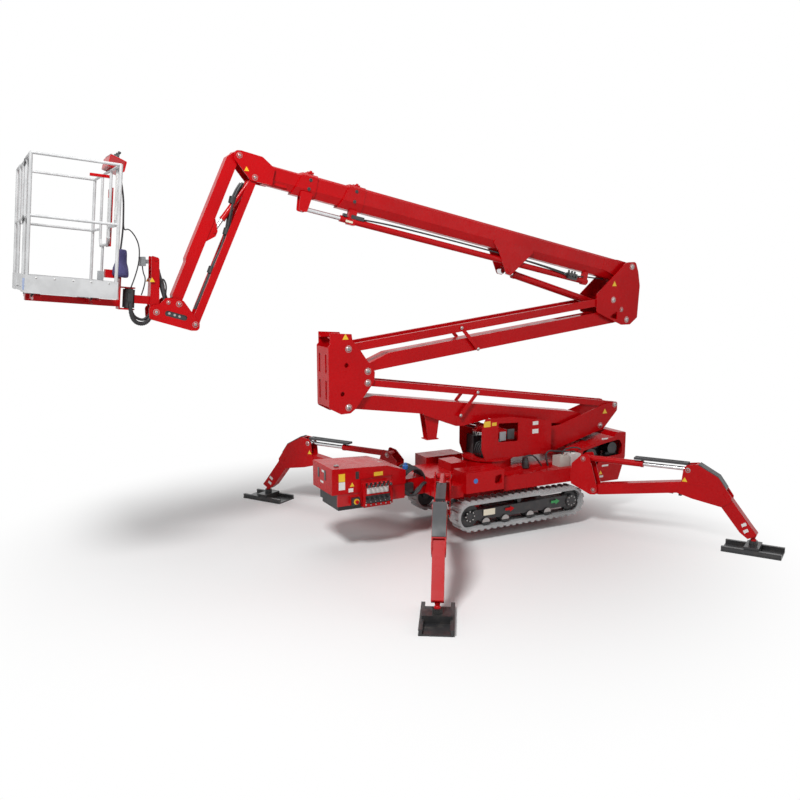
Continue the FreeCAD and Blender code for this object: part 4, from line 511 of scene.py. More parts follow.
class Form:
    """A mesh that grows by simple closed shapes, in millimetres of a chosen frame."""

    def __init__(self, frame: Matrix | None = None) -> None:
        """Starts an empty mesh."""
        self.mesh = bmesh.new()
        self.frame = frame or MACHINE.frame()

    def _new(self, points: Iterable[Vector], faces: Iterable[Sequence[int]]) -> None:
        """Adds points and faces to the mesh.

        Args:
            points: the new points.
            faces: corners of each face as indices into points.
        """
        made = [self.mesh.verts.new(point) for point in points]
        for face in faces:
            self.mesh.faces.new([made[index] for index in face])

    def rings(self, rings: Sequence[Sequence[Any]]) -> "Form":
        """Joins rings of equally many points into a closed skin.

        Args:
            rings: the rings in order; the first and the last are filled.

        Returns:
            The form.
        """
        count = len(rings[0])
        faces = []
        for base in range(0, count * (len(rings) - 1), count):
            for index in range(count):
                follow = (index + 1) % count
                faces.append([base + index, base + follow, base + count + follow, base + count + index])
        points = [point for ring in rings for point in ring]
        faces.append(list(range(count))[::-1])
        faces.append(list(range(len(points) - count, len(points))))
        self._new(points, faces)
        return self

    @staticmethod
    def ring(centre: Vector, side: Vector, other: Vector, radius: float, corners: int) -> list[Vector]:
        """Points round a centre in the plane of two directions.

        Args:
            centre: the ring's middle.
            side: first direction.
            other: second direction.
            radius: the ring's radius.
            corners: how many points.

        Returns:
            The points in order.
        """
        turns = (2 * math.pi * index / corners for index in range(corners))
        return [centre + (side * math.cos(turn) + other * math.sin(turn)) * radius for turn in turns]

    def revolve(self, start: Spot, axis: Spot, profile: Profile, sides: int = 24) -> "Form":
        """Turns a profile round an axis.

        Args:
            start: the axis's first point.
            axis: its direction.
            profile: (distance along the axis, radius) pairs from one end to the other.
            sides: corners of each ring.

        Returns:
            The form.
        """
        along = Vector(axis).normalized()
        side = along.orthogonal().normalized()
        other = along.cross(side)
        centre = Vector(start)
        rings = []
        for reach, radius in profile:
            rings.append(self.ring(centre + along * reach, side, other, max(radius, 0.01), sides))
        return self.rings(rings)

    def studs(self, spots: Iterable[Spot], axis: Spot, profile: Profile, sides: int = 16) -> "Form":
        """The same turned shape at several spots.

        Args:
            spots: where each one starts.
            axis: their direction.
            profile: (distance along the axis, radius) pairs.
            sides: corners of each ring.

        Returns:
            The form.
        """
        for spot in spots:
            self.revolve(spot, axis, profile, sides)
        return self

    def pair(self, x: float, reach: float, z: float, profile: Profile, sides: int = 24) -> "Form":
        """The same turned shape on both sides, facing outwards.

        Args:
            x: place along the machine.
            reach: distance from the middle plane.
            z: height.
            profile: (distance outwards, radius) pairs.
            sides: corners of each ring.

        Returns:
            The form.
        """
        for side in SIDES:
            self.revolve((x, side * reach, z), (0, side, 0), profile, sides)
        return self

    def rod(self, start: Spot, finish: Spot, radius: float, sides: int = 16) -> "Form":
        """Round bar between two points with slightly broken edges.

        Args:
            start: middle of its first end.
            finish: middle of its last end.
            radius: the bar's radius.
            sides: corners of each ring.

        Returns:
            The form.
        """
        length = (Vector(finish) - Vector(start)).length
        edge = min(radius * 0.2, length * 0.2, 3.0)
        axis = tuple(Vector(finish) - Vector(start))
        profile = [(0, radius - edge), (edge, radius), (length - edge, radius), (length, radius - edge)]
        return self.revolve(start, axis, profile, sides)

    def block(self, low: Spot, high: Spot, edge: float = 2.0) -> "Form":
        """Box between two corners with chamfered edges.

        Args:
            low: its least corner.
            high: its greatest corner.
            edge: width of the chamfers.

        Returns:
            The form.
        """
        size = [b - a for a, b in zip(low, high)]
        middle = [(a + b) / 2 for a, b in zip(low, high)]
        part = bmesh.ops.create_cube(self.mesh, size=1.0)["verts"]
        for vert in part:
            vert.co = Vector(c * s + m for c, s, m in zip(vert.co, size, middle))
        edges = list({e for vert in part for e in vert.link_edges})
        offset = min(edge, min(size) * 0.3)
        bmesh.ops.bevel(self.mesh, geom=edges, offset=offset, segments=2, profile=0.6, affect="EDGES")
        return self

    def plate(self, corners: Sequence[Flat], low: float, high: float, across: str = "y") -> "Form":
        """Flat plate from an outline.

        Args:
            corners: outline as (x, z) for plates across y, (x, y) across z or (y, z) across x.
            low: first face's place on the crossing axis.
            high: second face's place.
            across: the crossing axis.

        Returns:
            The form.
        """
        at = "xyz".index(across)
        return self.rings(
            [[Vector((*corner[:at], level, *corner[at:])) for corner in corners] for level in (low, high)]
        )

    def plates(self, corners: Sequence[Flat], near: float, far: float) -> "Form":
        """The same plate across y on both sides.

        Args:
            corners: outline as (x, z).
            near: one face off the middle plane.
            far: the other face off the middle plane.

        Returns:
            The form.
        """
        for side in SIDES:
            self.plate(corners, side * near, side * far)
        return self

    def tube(self, route: Sequence[Spot], radius: float, sides: int = 10, ribs: float = 0.0) -> "Form":
        """Hose or bent bar along a smooth curve through its control points.

        Args:
            route: control points; the ends are met.
            radius: tube radius.
            sides: corners of each ring.
            ribs: share of the radius by which a corrugated hose swells.

        Returns:
            The form.
        """
        curve = bpy.data.curves.new("route", "CURVE")
        curve.dimensions = "3D"
        spline = curve.splines.new("NURBS")
        spline.points.add(len(route) - 1)
        for point, spot in zip(spline.points, route):
            point.co = (*spot, 1.0)
        spline.order_u = 3
        spline.use_endpoint_u = True
        spline.resolution_u = 8
        holder = bpy.data.objects.new("route", curve)
        line = bpy.data.meshes.new_from_object(holder)
        path = [vert.co.copy() for vert in line.vertices]
        bpy.data.objects.remove(holder)
        bpy.data.meshes.remove(line)
        side = (path[1] - path[0]).orthogonal().normalized()
        rings = []
        for index, centre in enumerate(path):
            ahead = path[min(index + 1, len(path) - 1)] - path[max(index - 1, 0)]
            ahead.normalize()
            side = (side - ahead * side.dot(ahead)).normalized()
            swell = radius * (1 + (ribs if index % 2 else 0.0))
            rings.append(self.ring(centre, side, ahead.cross(side), swell, sides))
        return self.rings(rings)

    def piece(self, name: str, paint: Paint, body: str, crease: float = 35.0) -> bpy.types.Object:
        """Turns the form into a piece.

        Args:
            name: the piece's name.
            paint: its finish.
            body: the CAD body that carries it.
            crease: edges sharper than this many degrees stay sharp.

        Returns:
            The new object.
        """
        bmesh.ops.recalc_face_normals(self.mesh, faces=self.mesh.faces)
        self.mesh.transform(self.frame)
        data = bpy.data.meshes.new(name)
        self.mesh.to_mesh(data)
        self.mesh.free()
        for polygon in data.polygons:
            polygon.use_smooth = True
        data.set_sharp_from_angle(angle=math.radians(crease))
        data.materials.append(paint.material())
        made = bpy.data.objects.new(name, data)
        bpy.context.scene.collection.objects.link(made)
        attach(made, body)
        LOG.info("piece %s on %s, %d faces", name, body, len(data.polygons))
        return made


@dataclass
class Studio:
    """Camera, lamps, world and floor."""

    eye: Spot = (-4.38666, -8.792, 3.256)
    tilt: float = 80.90
    pan: float = -27.59
    lens: float = 38.477
    world_light: float = 0.18
    floor_half: float = 60.0
    floor_grey: float = 0.92
    fade_start: float = 2.0
    fade_end: float = 5.0

    def camera(self) -> None:
        """Sets the camera at the photograph's place."""
        data = bpy.data.cameras.new("camera")
        data.lens = self.lens
        data.sensor_width = 36.0
        made = bpy.data.objects.new("camera", data)
        made.location = self.eye
        made.rotation_euler = (math.radians(self.tilt), 0.0, math.radians(self.pan))
        bpy.context.scene.collection.objects.link(made)
        bpy.context.scene.camera = made

    def lamp(self, name: str, spot: Spot, aim: Spot, size: float, watts: float) -> None:
        """Adds one soft area lamp.

        Args:
            name: the lamp's name.
            spot: where it stands.
            aim: the point it faces.
            size: its disk's width in metres.
            watts: its power.
        """
        data = bpy.data.lights.new(name, "AREA")
        data.shape = "DISK"
        data.size = size
        data.energy = watts
        made = bpy.data.objects.new(name, data)
        made.location = spot
        made.rotation_euler = (Vector(aim) - Vector(spot)).to_track_quat("-Z", "Y").to_euler()
        bpy.context.scene.collection.objects.link(made)

    def world(self) -> None:
        """White where the camera and reflections look, plain grey light elsewhere."""
        world = bpy.data.worlds.new("studio")
        bpy.context.scene.world = world
        world.use_nodes = True
        kit = Tree(world.node_tree)
        white = (1.0, 1.0, 1.0)
        light = kit.node("ShaderNodeBackground", {}, {"Color": white, "Strength": self.world_light})
        shown = kit.node("ShaderNodeBackground", {}, {"Color": white, "Strength": 1.0})
        inputs = {0: kit.seen(), 1: light.outputs[0], 2: shown.outputs[0]}
        mixed = kit.node("ShaderNodeMixShader", {}, inputs)
        kit.node("ShaderNodeOutputWorld", {}, {"Surface": mixed.outputs[0]})

    def floor(self) -> None:
        """Pale floor that fades to white away from the machine."""
        kit = Finishing("studio_floor")
        kit.shade(base_color=(self.floor_grey,) * 3, roughness=0.9, specular=0.0)
        along, across, _ = kit.place()
        reach = ((along * along) + (across * across)).maths("SQRT")
        share = kit.seen() * reach.ranged(self.fade_start, self.fade_end)
        white = kit.node("ShaderNodeEmission", {}, {"Color": (1.0, 1.0, 1.0), "Strength": 1.0})
        inputs = {0: share, 1: kit.shader.outputs[0], 2: white.outputs[0]}
        mixed = kit.node("ShaderNodeMixShader", {}, inputs)
        kit.feed(kit.output.inputs["Surface"], mixed.outputs[0])
        mesh = bmesh.new()
        bmesh.ops.create_grid(mesh, x_segments=8, y_segments=8, size=self.floor_half)
        data = bpy.data.meshes.new("floor")
        mesh.to_mesh(data)
        mesh.free()
        data.materials.append(kit.material)
        made = bpy.data.objects.new("floor", data)
        bpy.context.scene.collection.objects.link(made)

    def build(self) -> None:
        """Sets up the whole studio."""
        bpy.context.scene.view_settings.view_transform = "Standard"
        self.camera()
        self.world()
        self.floor()
        self.lamp("key", (-5.5, -5.5, 9.5), (0.0, 0.0, 1.0), 2.4, 980.0)
        self.lamp("fill", (7.0, -9.0, 5.0), (0.0, 0.0, 1.5), 7.0, 110.0)
        self.lamp("top", (1.0, 3.0, 10.0), (0.0, 0.0, 1.0), 6.0, 150.0)


@dataclass
class Finishes:
    """Which finish each CAD node gets, with the planes that part the two-coloured ones in metres."""

    guard_level: float = 0.918
    tank_place: float = 0.94
    bank_place: float = -0.25

    def paint(self, node: str, slot: str) -> bpy.types.Material:
        """Finish of one slot of one node.

        Args:
            node: the node's name.
            slot: the CAD's name for the slot's material.

        Returns:
            The material.
        """
        tank = MACHINE.shift + self.tank_place
        parted = {
            "leg_rod": Split("leg_rod_finish", Paint.CHROME.value, Paint.GREY.value, 2, self.guard_level),
            "valve_bank": Split("valve_bank_finish", Paint.RED.value, Paint.BLACK.value, 1, self.bank_place),
            "fluid_tanks": Split("tank_finish", Paint.BEIGE.value, Paint.WHITE.value, 0, tank),
        }
        for start, split in parted.items():
            if node.startswith(start):
                return bpy.data.materials.get(split.name) or split.build()
        named = {
            "engine": Paint.BLACK, "turret_valves": Paint.BLACK, "rotator": Paint.BLACK,
            "level_barrel": Paint.GREY, "lower_beam": Paint.RED,
        }
        return (named.get(node) or SLOTS.get(slot, SLOTS["red_paint"])[0]).material()

    def build(self, nodes: dict[str, bpy.types.Object]) -> None:
        """Gives every node its finish.

        Args:
            nodes: the CAD's objects by name.
        """
        for name, node in nodes.items():
            for slot in node.material_slots:
                known = slot.material.name.split(".")[0] if slot.material else ""
                slot.material = self.paint(name, known)
            LOG.info("node %s finished", name)


@dataclass
class PinCaps:
    """Silver domed heads on the pins, near and far."""

    share: float = 1.2
    washer: float = 1.25
    height: float = 17.0
    least: float = 13.0
    beam_pin: float = 26.0
    jib_pin: float = 20.0
    link_pin: float = 13.0
    beam_half: float = 169.5
    jib_half: float = 101.5
    link_half: float = 160.0

    def rise(self, radius: float) -> float:
        """Height of a pin's head over its plate."""
        return max(self.least, self.height * radius / self.beam_pin)

    def dome(self, radius: float, height: float) -> list[Flat]:
        """Profile of a domed head on its washer.

        Args:
            radius: the head's radius.
            height: how far it stands out.

        Returns:
            (distance, radius) pairs.
        """
        foot = radius * self.washer
        profile = [(0, foot), (height * 0.2, foot), (height * 0.22, radius)]
        for share in (0.55, 0.8, 0.95, 1.0):
            profile.append((height * share, radius * math.sqrt(max(0.0, 1.0 - (share * 0.98) ** 2))))
        return profile

    def caps(
        self, name: str, body: str, half: float, rows: Sequence[Spot], frame: Matrix | None = None
    ) -> None:
        """Domes with sunk sockets on both sides of the pins of one body.

        Args:
            name: the pieces' first name.
            body: the CAD body that carries them.
            half: the plates' outer face off the middle plane.
            rows: x, z and radius of each pin.
            frame: their frame, if not the machine's.
        """
        heads = Form(frame)
        sockets = Form(frame)
        for x, z, radius in rows:
            rise = self.rise(radius)
            heads.pair(x, half, z, self.dome(radius * self.share, rise))
            wide, narrow = radius * 0.42, radius * 0.24
            socket = [(0, wide), (3.4, wide), (3.4, narrow), (1.0, radius * 0.2)]
            sockets.pair(x, half + rise - 2.5, z, socket, 16)
        heads.piece(name, Paint.SILVER, body)
        sockets.piece(name + "_sockets", Paint.GREY, body)

    def build(self) -> None:
        """Makes the caps of every pinned joint."""
        beam, jib, link = self.beam_pin, self.jib_pin, self.link_pin
        turret = ((1662, 1136, beam), (1900, 1400, beam), (753, 979, beam))
        plate = ((-1969, 1660, beam), (-1731, 1924, beam), (-1729, 2055, beam), (-1965, 2317, beam))
        head = ((2043, 2521, beam), (1807, 2783, beam), (2103, 3207, beam), (1950, 2655, beam * 0.8))
        foot = ((-3793, 2849, jib), (-3636, 2637, jib), (-4021, 2773, jib), (-3898, 2868, jib * 0.7))
        lower = ((-491.2, 1446.7, link), (-253, 1711, link))
        upper = ((-254.1, 2237.2, link), (-490, 2499, link))
        self.caps("turret_pin_heads", "turret", self.beam_half, turret)
        self.caps("link_pin_heads", "link_plate", self.beam_half, plate)
        self.caps("head_pin_heads", "head_plate", self.beam_half, head)
        self.caps("jib_head_pin_heads", "boom_inner", self.jib_half, ((-3123, 4336, jib), (-2966, 4124, jib)))
        self.caps("jib_foot_pin_heads", "jib_end", self.jib_half, foot)
        self.caps("lower_link_pin_heads", "lower_mid_links", self.link_half, lower)
        self.caps("upper_link_pin_heads", "upper_mid_links", self.link_half, upper)
        for side_x, side_y, corner in CORNERS:
            frame = MACHINE.leg(side_x, side_y)
            self.caps(f"leg_hinge_heads_{corner}", "chassis", 89.5, ((0, 490, jib), (-140, 869, jib)), frame)
            self.caps(f"leg_eye_heads_{corner}", f"leg_{corner}", 69.5, ((1112, 877, jib),), frame)


@dataclass
class Stickers:
    """Blank films: yellow triangles, white and cream strips, arrows and leg chevrons."""

    thick: float = 1.6
    turret_face: float = 262.0
    track_face: float = 596.0
    leg_face: float = 60.0
    elbow_face: float = 70.0
    engine_face: float = 400.0

    def triangle(self, form: Form, x: float, z: float, size: float, face: float, near: bool = True) -> None:
        """One triangle on a face across y.

        Args:
            form: the form it joins.
            x: its middle.
            z: its middle's height.
            size: its width.
            face: the face off the middle plane.
            near: whether it is on the near side.
        """
        side = -1 if near else 1
        base = z - size * 0.4
        corners = ((x - size / 2, base), (x + size / 2, base), (x, z + size * 0.46))
        form.plate(corners, side * face, side * (face + self.thick))

    def strip(self, form: Form, low: Flat, high: Flat, face: float) -> None:
        """One blank strip on a near face across y."""
        form.plate(oblong(low, high), -face, -face - self.thick)

    def strips(self, form: Form, low: Flat, high: Flat, face: float) -> None:
        """The same blank strip on the near and the far side."""
        form.plates(oblong(low, high), face, face + self.thick)

    def machine(self) -> None:
        """Triangles on the turret, the plates and the jib."""
        for name, body, x, z, size, face in (
            ("link_triangles", "link_plate", -2000, 2452, 74, 170),
            ("turret_triangles", "turret", 1735, 1322, 74, 170),
            ("head_triangles", "head_plate", 1816, 2990, 74, 170),
            ("jib_head_triangles", "boom_inner", -3052, 4205, 52, 102),
            ("post_triangles", "basket_post", -4046, 3092, 52, 90),
        ):
            form = Form()
            for near in (True, False):
                self.triangle(form, x, z, size, face, near)
            form.piece(name, Paint.YELLOW, body)

    def legs(self) -> None:
        """Triangles and chevrons on the legs."""
        for side_x, side_y, corner in CORNERS:
            frame = MACHINE.leg(side_x, side_y)
            form = Form(frame)
            for near in (True, False):
                self.triangle(form, 1082, 762, 62, self.elbow_face, near)
            form.piece(f"leg_triangles_{corner}", Paint.YELLOW, f"leg_{corner}")
            form = Form(frame)
            for x, z in ((1756, 330), (1780.5, 260)):
                corners = ((x - 30, z - 10), (x + 18, z + 20), (x + 34, z - 12), (x - 14, z - 42))
                form.plates(corners, self.leg_face, self.leg_face + self.thick)
            form.piece(f"leg_chevrons_{corner}", Paint.WHITE, f"leg_{corner}")

    def turret(self) -> None:
        """Strips on the turret's side walls."""
        white = (((500, 1258), (584, 1304)), ((496, 1150), (588, 1206)))
        yellow = (((-226, 1292), (-130, 1362)), ((-108, 1300), (-42, 1340)))
        for name, paint, rows in (("white", Paint.WHITE, white), ("yellow", Paint.YELLOW, yellow)):
            form = Form()
            for low, high in rows:
                self.strips(form, low, high, self.turret_face)
            form.piece(f"turret_{name}_strips", paint, "turret")

    def chassis(self) -> None:
        """Films on the engine cover and the track frames."""
        form = Form()
        self.strip(form, (1520, 640), (1625, 664), self.engine_face)
        self.strip(form, (1450, 500), (1545, 526), self.engine_face)
        self.strip(form, (1500, 1000), (1600, 1020), self.engine_face)
        form.piece("engine_white_strips", Paint.WHITE, "chassis")
        form = Form()
        for x, z in ((1405, 560), (1500, 566)):
            self.triangle(form, x, z, 58, self.engine_face)
        form.piece("engine_triangles", Paint.YELLOW, "chassis")
        form = Form()
        self.strips(form, (-430, 306), (-268, 380), self.track_face)
        form.piece("track_cream_plates", Paint.CREAM, "chassis")
        for name, paint, x in (("red", Paint.RED, -120.0), ("green", Paint.GREEN, 560.0)):
            neck = x + 70
            arrow = ((x, 326), (neck, 326), (neck, 306), (x + 130, 342), (neck, 378), (neck, 358), (x, 358))
            form = Form().plates(arrow, self.track_face, self.track_face + self.thick)
            form.piece(f"track_{name}_arrows", paint, "chassis")

    def build(self) -> None:
        """Places the films."""
        self.machine()
        self.legs()
        self.turret()
        self.chassis()


@dataclass
class BoomTrim:
    """Pad adjusters, tabs, fittings, valve block and hoses on the telescopic boom."""

    screw: tuple[Flat, ...] = ((0, 19), (7, 19), (9, 16), (9, 9), (4, 8))
    stud: tuple[Flat, ...] = ((0, 14), (12, 14), (14, 11))
    pressure_hose: float = 9.0
    return_hose: float = 7.0

    def screws(self, name: str, spots: Sequence[Flat], half: float) -> None:
        """Black round pad screws on a section's collar.

        Args:
            name: the section, outer or mid.
            spots: screws as (along, up) in the boom's frame.
            half: the collar's side face off the middle plane.
        """
        form = Form(MACHINE.boom())
        for u, v in spots:
            form.pair(u, half - 3, v, self.screw, 20)
        form.piece(f"{name}_pad_screws", Paint.BLACK, f"boom_{name}")

    def tabs(self, name: str, u: float, half: float) -> None:
        """Red tabs with their studs on a section's nose.

        Args:
            name: the section, outer or mid.
            u: the tabs' place along the boom.
            half: their distance from the middle plane.
        """
        form = Form(MACHINE.boom())
        for side in SIDES:
            y = side * half
            form.block((u - 30, y - 22, 52), (u + 30, y + 22, 74), 4)
            form.revolve((u, y, 74), (0, 0, 1), self.stud, 6)
        form.piece(f"{name}_nose_tabs", Paint.RED, f"boom_{name}")

    def build(self) -> None:
        """Builds the trim."""
        self.screws("outer", ((4006, -6), (4010, -118)), 105.0)
        self.screws("mid", ((4545, -16), (4548, -112)), 94.0)
        self.tabs("outer", 3990.0, 46.0)
        self.tabs("mid", 4540.0, 40.0)
        form = Form(MACHINE.boom()).block((820, 62, -345), (960, 128, -268), 5)
        for u in (840, 885, 935):
            form.rod((u, 84, -268), (u, 84, -236), 13)
            form.rod((u, 128, -305), (u, 146, -305), 13)
        form.piece("extension_valve_block", Paint.BLACK, "boom_outer")
        form = Form(MACHINE.boom())
        for u, w in ((806, 70), (975, 80)):
            form.rod((u, w, -300), (u + 26, w, -300), 15, 12)
        form.piece("extension_fittings", Paint.SILVER, "boom_outer")
        pressure = (
            (960, 90, -290), (1300, 96, -262), (2100, 70, -250), (3000, 64, -250), (3700, 60, -262),
            (3870, 66, -282),
        )
        back = (
            (960, 104, -310), (1300, 84, -270), (2100, 52, -246), (3000, 50, -246), (3700, 48, -256),
            (3860, 50, -286),
        )
        feed = ((820, 90, -290), (640, 60, -262), (420, 20, -240), (300, 0, -222))
        form = Form(MACHINE.boom()).tube(pressure, self.pressure_hose).tube(back, self.return_hose)
        form.tube(feed, self.pressure_hose).piece("extension_hoses", Paint.HOSE, "boom_outer")
        form = Form(MACHINE.boom()).block((3850, 40, -300), (4010, 88, -256), 5)
        form.block((4060, 52, -296), (4105, 92, -262), 4).piece("nose_fittings", Paint.BLACK, "boom_outer")
        form = Form(MACHINE.boom()).plate(oblong((3980, -350), (4066, -326)), 86, 88)
        form.piece("nose_cream_strip", Paint.CREAM, "boom_outer")
        cable = ((2200, 20, 3245), (2310, 16, 3225), (2378, 10, 3110), (2366, 8, 2990), (2230, 10, 2900))
        Form().tube(cable, self.return_hose).piece("head_cable", Paint.HOSE, "head_plate")


@dataclass
class JibHoses:
    """Black hose bundle between the jib's beam and its tie, and the short ones at the knuckle."""

    strands: tuple[Spot, ...] = ((0, -30, 12), (16, -8, 11), (-12, 6, 11), (6, 22, 9))
    bends: tuple[tuple[float, float, float, float], ...] = (
        (-3078, 1.0, 1.0, 4070), (-3150, 1.0, 1.0, 3980), (-3210, 1.0, 0.8, 3780),
        (-3246, 1.0, 0.7, 3590), (-3290, 1.0, 0.7, 3430), (-3398, 1.0, 0.6, 3240),
        (-3520, 0.6, 0.6, 2960), (-3610, 0.4, 0.5, 2790),
    )
    wrap: tuple[Flat, ...] = ((0, 30), (4, 38), (70, 38), (74, 30))
    slot: tuple[Flat, ...] = ((-3940, 2800), (-3956, 2732), (-3716, 2660), (-3700, 2732))

    def bundle(self) -> None:
        """Four strands side by side, with three wraps round them."""
        form = Form()
        for aside, y, radius in self.strands:
            form.tube([(x + aside * near, y * squeeze, z) for x, near, squeeze, z in self.bends], radius)
        form.piece("jib_hose_bundle", Paint.HOSE, "jib_tie")
        form = Form()
        for x, z, lean in ((-3190, 3860, 0.25), (-3262, 3540, 0.3), (-3440, 3150, 0.4)):
            form.revolve((x, -4, z), (lean, 0, 1), self.wrap, 16)
        form.piece("jib_hose_wraps", Paint.RUBBER, "jib_tie")

    def build(self) -> None:
        """Builds the bundle, the unions, the sensor box and the hoses at the post."""
        self.bundle()
        Form().plates(self.slot, 88, 85).piece("jib_slot_backing", Paint.BLACK, "jib_end")
        form = Form()
        for x, z in ((-3890, 2756), (-3838, 2738), (-3790, 2722)):
            form.rod((x, -89, z), (x, -84, z), 13)
        form.piece("jib_slot_unions", Paint.SILVER, "jib_end")
        form = Form().block((-4150, -66, 3226), (-4092, 10, 3318), 7)
        form.block((-4100, -40, 3250), (-4060, -10, 3290), 4)
        form.piece("post_sensor_box", Paint.PANEL, "basket_post")
        cable = (
            (-4122, -30, 3230), (-4120, -36, 3160), (-4096, -30, 3110), (-4110, -10, 3020), (-4140, 0, 2940),
        )
        Form().tube(cable, 6).piece("post_sensor_cable", Paint.HOSE, "basket_post")
        near = (
            (-3958, -38, 3080), (-3930, -52, 3112), (-3900, -54, 3040), (-3908, -48, 2960), (-3912, -34, 2920),
        )
        far = ((-3962, 36, 3120), (-3926, 52, 3120), (-3898, 54, 3030), (-3906, 46, 2950), (-3912, 32, 2910))
        Form().tube(near, 8).tube(far, 8).piece("level_hoses", Paint.HOSE, "level_barrel")
        wide = (
            (-4262, -60, 2860), (-4266, -70, 2760), (-4220, -40, 2672), (-4130, 0, 2650), (-4060, 20, 2700),
            (-4020, 20, 2790),
        )
        slim = ((-4250, 10, 2850), (-4240, 20, 2760), (-4180, 30, 2700), (-4100, 30, 2690), (-4040, 10, 2780))
        form = Form().tube(wide, 19, 12, 0.16).tube(slim, 13, 12, 0.16)
        form.piece("basket_corrugated_hoses", Paint.HOSE, "basket_post")


@dataclass
class BasketTrim:
    """Fittings of the work basket, in the frame of the tilted cage."""

    depth: float = 768.0
    width: float = 1566.0
    height: float = 1187.0
    kick: float = 150.0
    strap_drop: float = 24.0
    mount: tuple[Flat, ...] = ((0, 32), (6, 36), (24, 28), (42, 36), (46, 32))
    lever: tuple[Flat, ...] = ((0, 18), (8, 20), (18, 10), (44, 8), (48, 15), (62, 15), (66, 8))

    def cage(self, frame: Matrix) -> None:
        """Rivets, blue plate, latches, straps, label holder and label plate.

        Args:
            frame: the basket's frame.
        """
        half = self.width / 2
        form = Form(frame)
        for y in (-half + 190, 0.0, half - 190):
            spots = [(x, y, self.kick - 24) for x in (60, self.depth - 60)]
            form.studs(spots, (0, 0, 1), ((0, 5), (4, 5), (6, 3)), 8)
        for x in (90, 240, 390, 540, 690):
            form.pair(x, half, self.kick - 22, ((0, 7), (2.5, 7), (4.5, 4)), 10)
        form.piece("basket_rivets", Paint.SILVER, "basket")
        form = Form(frame).plate(oblong((-half + 40, 16), (-half + 250, 118)), -1.2, 0.0, "x")
        form.piece("basket_blue_plate", Paint.BLUE, "basket")
        form = Form(frame)
        for z in (self.height - 56, self.height * 0.55 - 20):
            form.block((-4, -356, z - 34), (42, -322, z + 34), 5)
            form.rod((4, -372, z), (4, -310, z), 8)
        form.piece("gate_latches", Paint.BLACK, "basket")
        form = Form(frame)
        top = self.height - self.strap_drop
        for y, length in ((-250.0, 330.0), (-190.0, 300.0)):
            end = top - length
            form.plate(((y - 13, top), (y + 13, top), (y + 11, end), (y - 11, end)), 44, 47, "x")
            form.block((38, y - 14, end - 40), (54, y + 14, end), 4)
        form.piece("gate_lanyards", Paint.WEBBING, "gate")
        x = self.depth - 8
        form = Form(frame).block((x, -552, self.height - 534), (x + 10, -452, self.height - 14), 2)
        form.piece("basket_label_holder", Paint.ALUMINIUM, "basket")
        label = oblong((-545, self.height - 480), (-459, self.height - 60))
        Form(frame).plate(label, x - 1.5, x, "x").piece("basket_label_plate", Paint.WHITE, "basket")

    def console(self, frame: Matrix) -> None:
        """Dresses the tilted control box and the panel below it.

        Args:
            frame: the basket's frame.
        """
        x, z = self.depth - 60, self.height + 20
        cheek = ((x + 8, z + 8), (x + 134, z - 28), (x + 152, z + 58), (x + 24, z + 98))
        # The cheeks take the darker red, which is painted shade.
        form = Form(frame)
        for side in SIDES:
            form.plate(cheek, -120 + side * 190, -120 + side * 193)
        form.piece("basket_console_cheeks", Paint.DARK_RED, "basket")
        screen = ((x + 26, z + 113), (x + 164, z + 63), (x + 165, z + 67), (x + 27, z + 117))
        Form(frame).plate(screen, -280, 40).piece("basket_console_screen", Paint.PANEL, "basket")
        spots = [(x + 95, y, z + 90) for y in (-230.0, -120.0, -10.0)]
        form = Form(frame).studs(spots, (0.3, 0, 1), self.lever, 14)
        form.piece("basket_console_levers", Paint.BLACK, "basket")
        form = Form(frame).block((x + 70, 46, z + 86), (x + 122, 62, z + 130), 4)
        form.piece("basket_console_key", Paint.YELLOW, "basket")
        face = self.depth + 1
        form = Form(frame)
        for first, last in ((-232, -176), (-64, -8)):
            form.plate(oblong((first, 560), (last, 940)), face - 2, face, "x")
        form.piece("basket_panel_white", Paint.WHITE, "basket")
        form = Form(frame).plate(oblong((-160, 560), (-80, 780)), face - 2, face, "x")
        form.piece("basket_panel_yellow", Paint.YELLOW, "basket")
        arm = ((self.depth - 190, -136, self.height - 72), (self.depth + 4, -104, self.height - 44))
        Form(frame).block(*arm, 5).piece("basket_console_arm", Paint.RED, "basket")
        form = Form(frame).block((self.depth - 70, -86, 150), (self.depth - 20, -10, 240), 6)
        form.piece("basket_socket_box", Paint.PANEL, "basket")
        thin = (
            (-4290, -100, 3990), (-4284, -100, 3760), (-4300, -100, 3560), (-4250, -104, 3590),
            (-4180, -104, 3500), (-4150, -100, 3380), (-4180, -90, 3180), (-4250, -60, 3012),
        )
        thick = (
            (-4296, -80, 4060), (-4278, -84, 3900), (-4286, -84, 3740), (-4300, -90, 3560), (-4330, -80, 3390),
        )
        Form().tube(thin, 6).tube(thick, 9).piece("basket_console_cables", Paint.HOSE, "basket")

    def build(self) -> None:
        """Builds the basket's fittings."""
        frame = MACHINE.basket()
        self.cage(frame)
        self.console(frame)
        spots = [(x, y, -46) for y in (-420.0, 420.0) for x in (110.0, self.depth - 150)]
        form = Form(frame).studs(spots, (0, 0, 1), self.mount, 20)
        form.piece("basket_mounts", Paint.RUBBER, "basket")


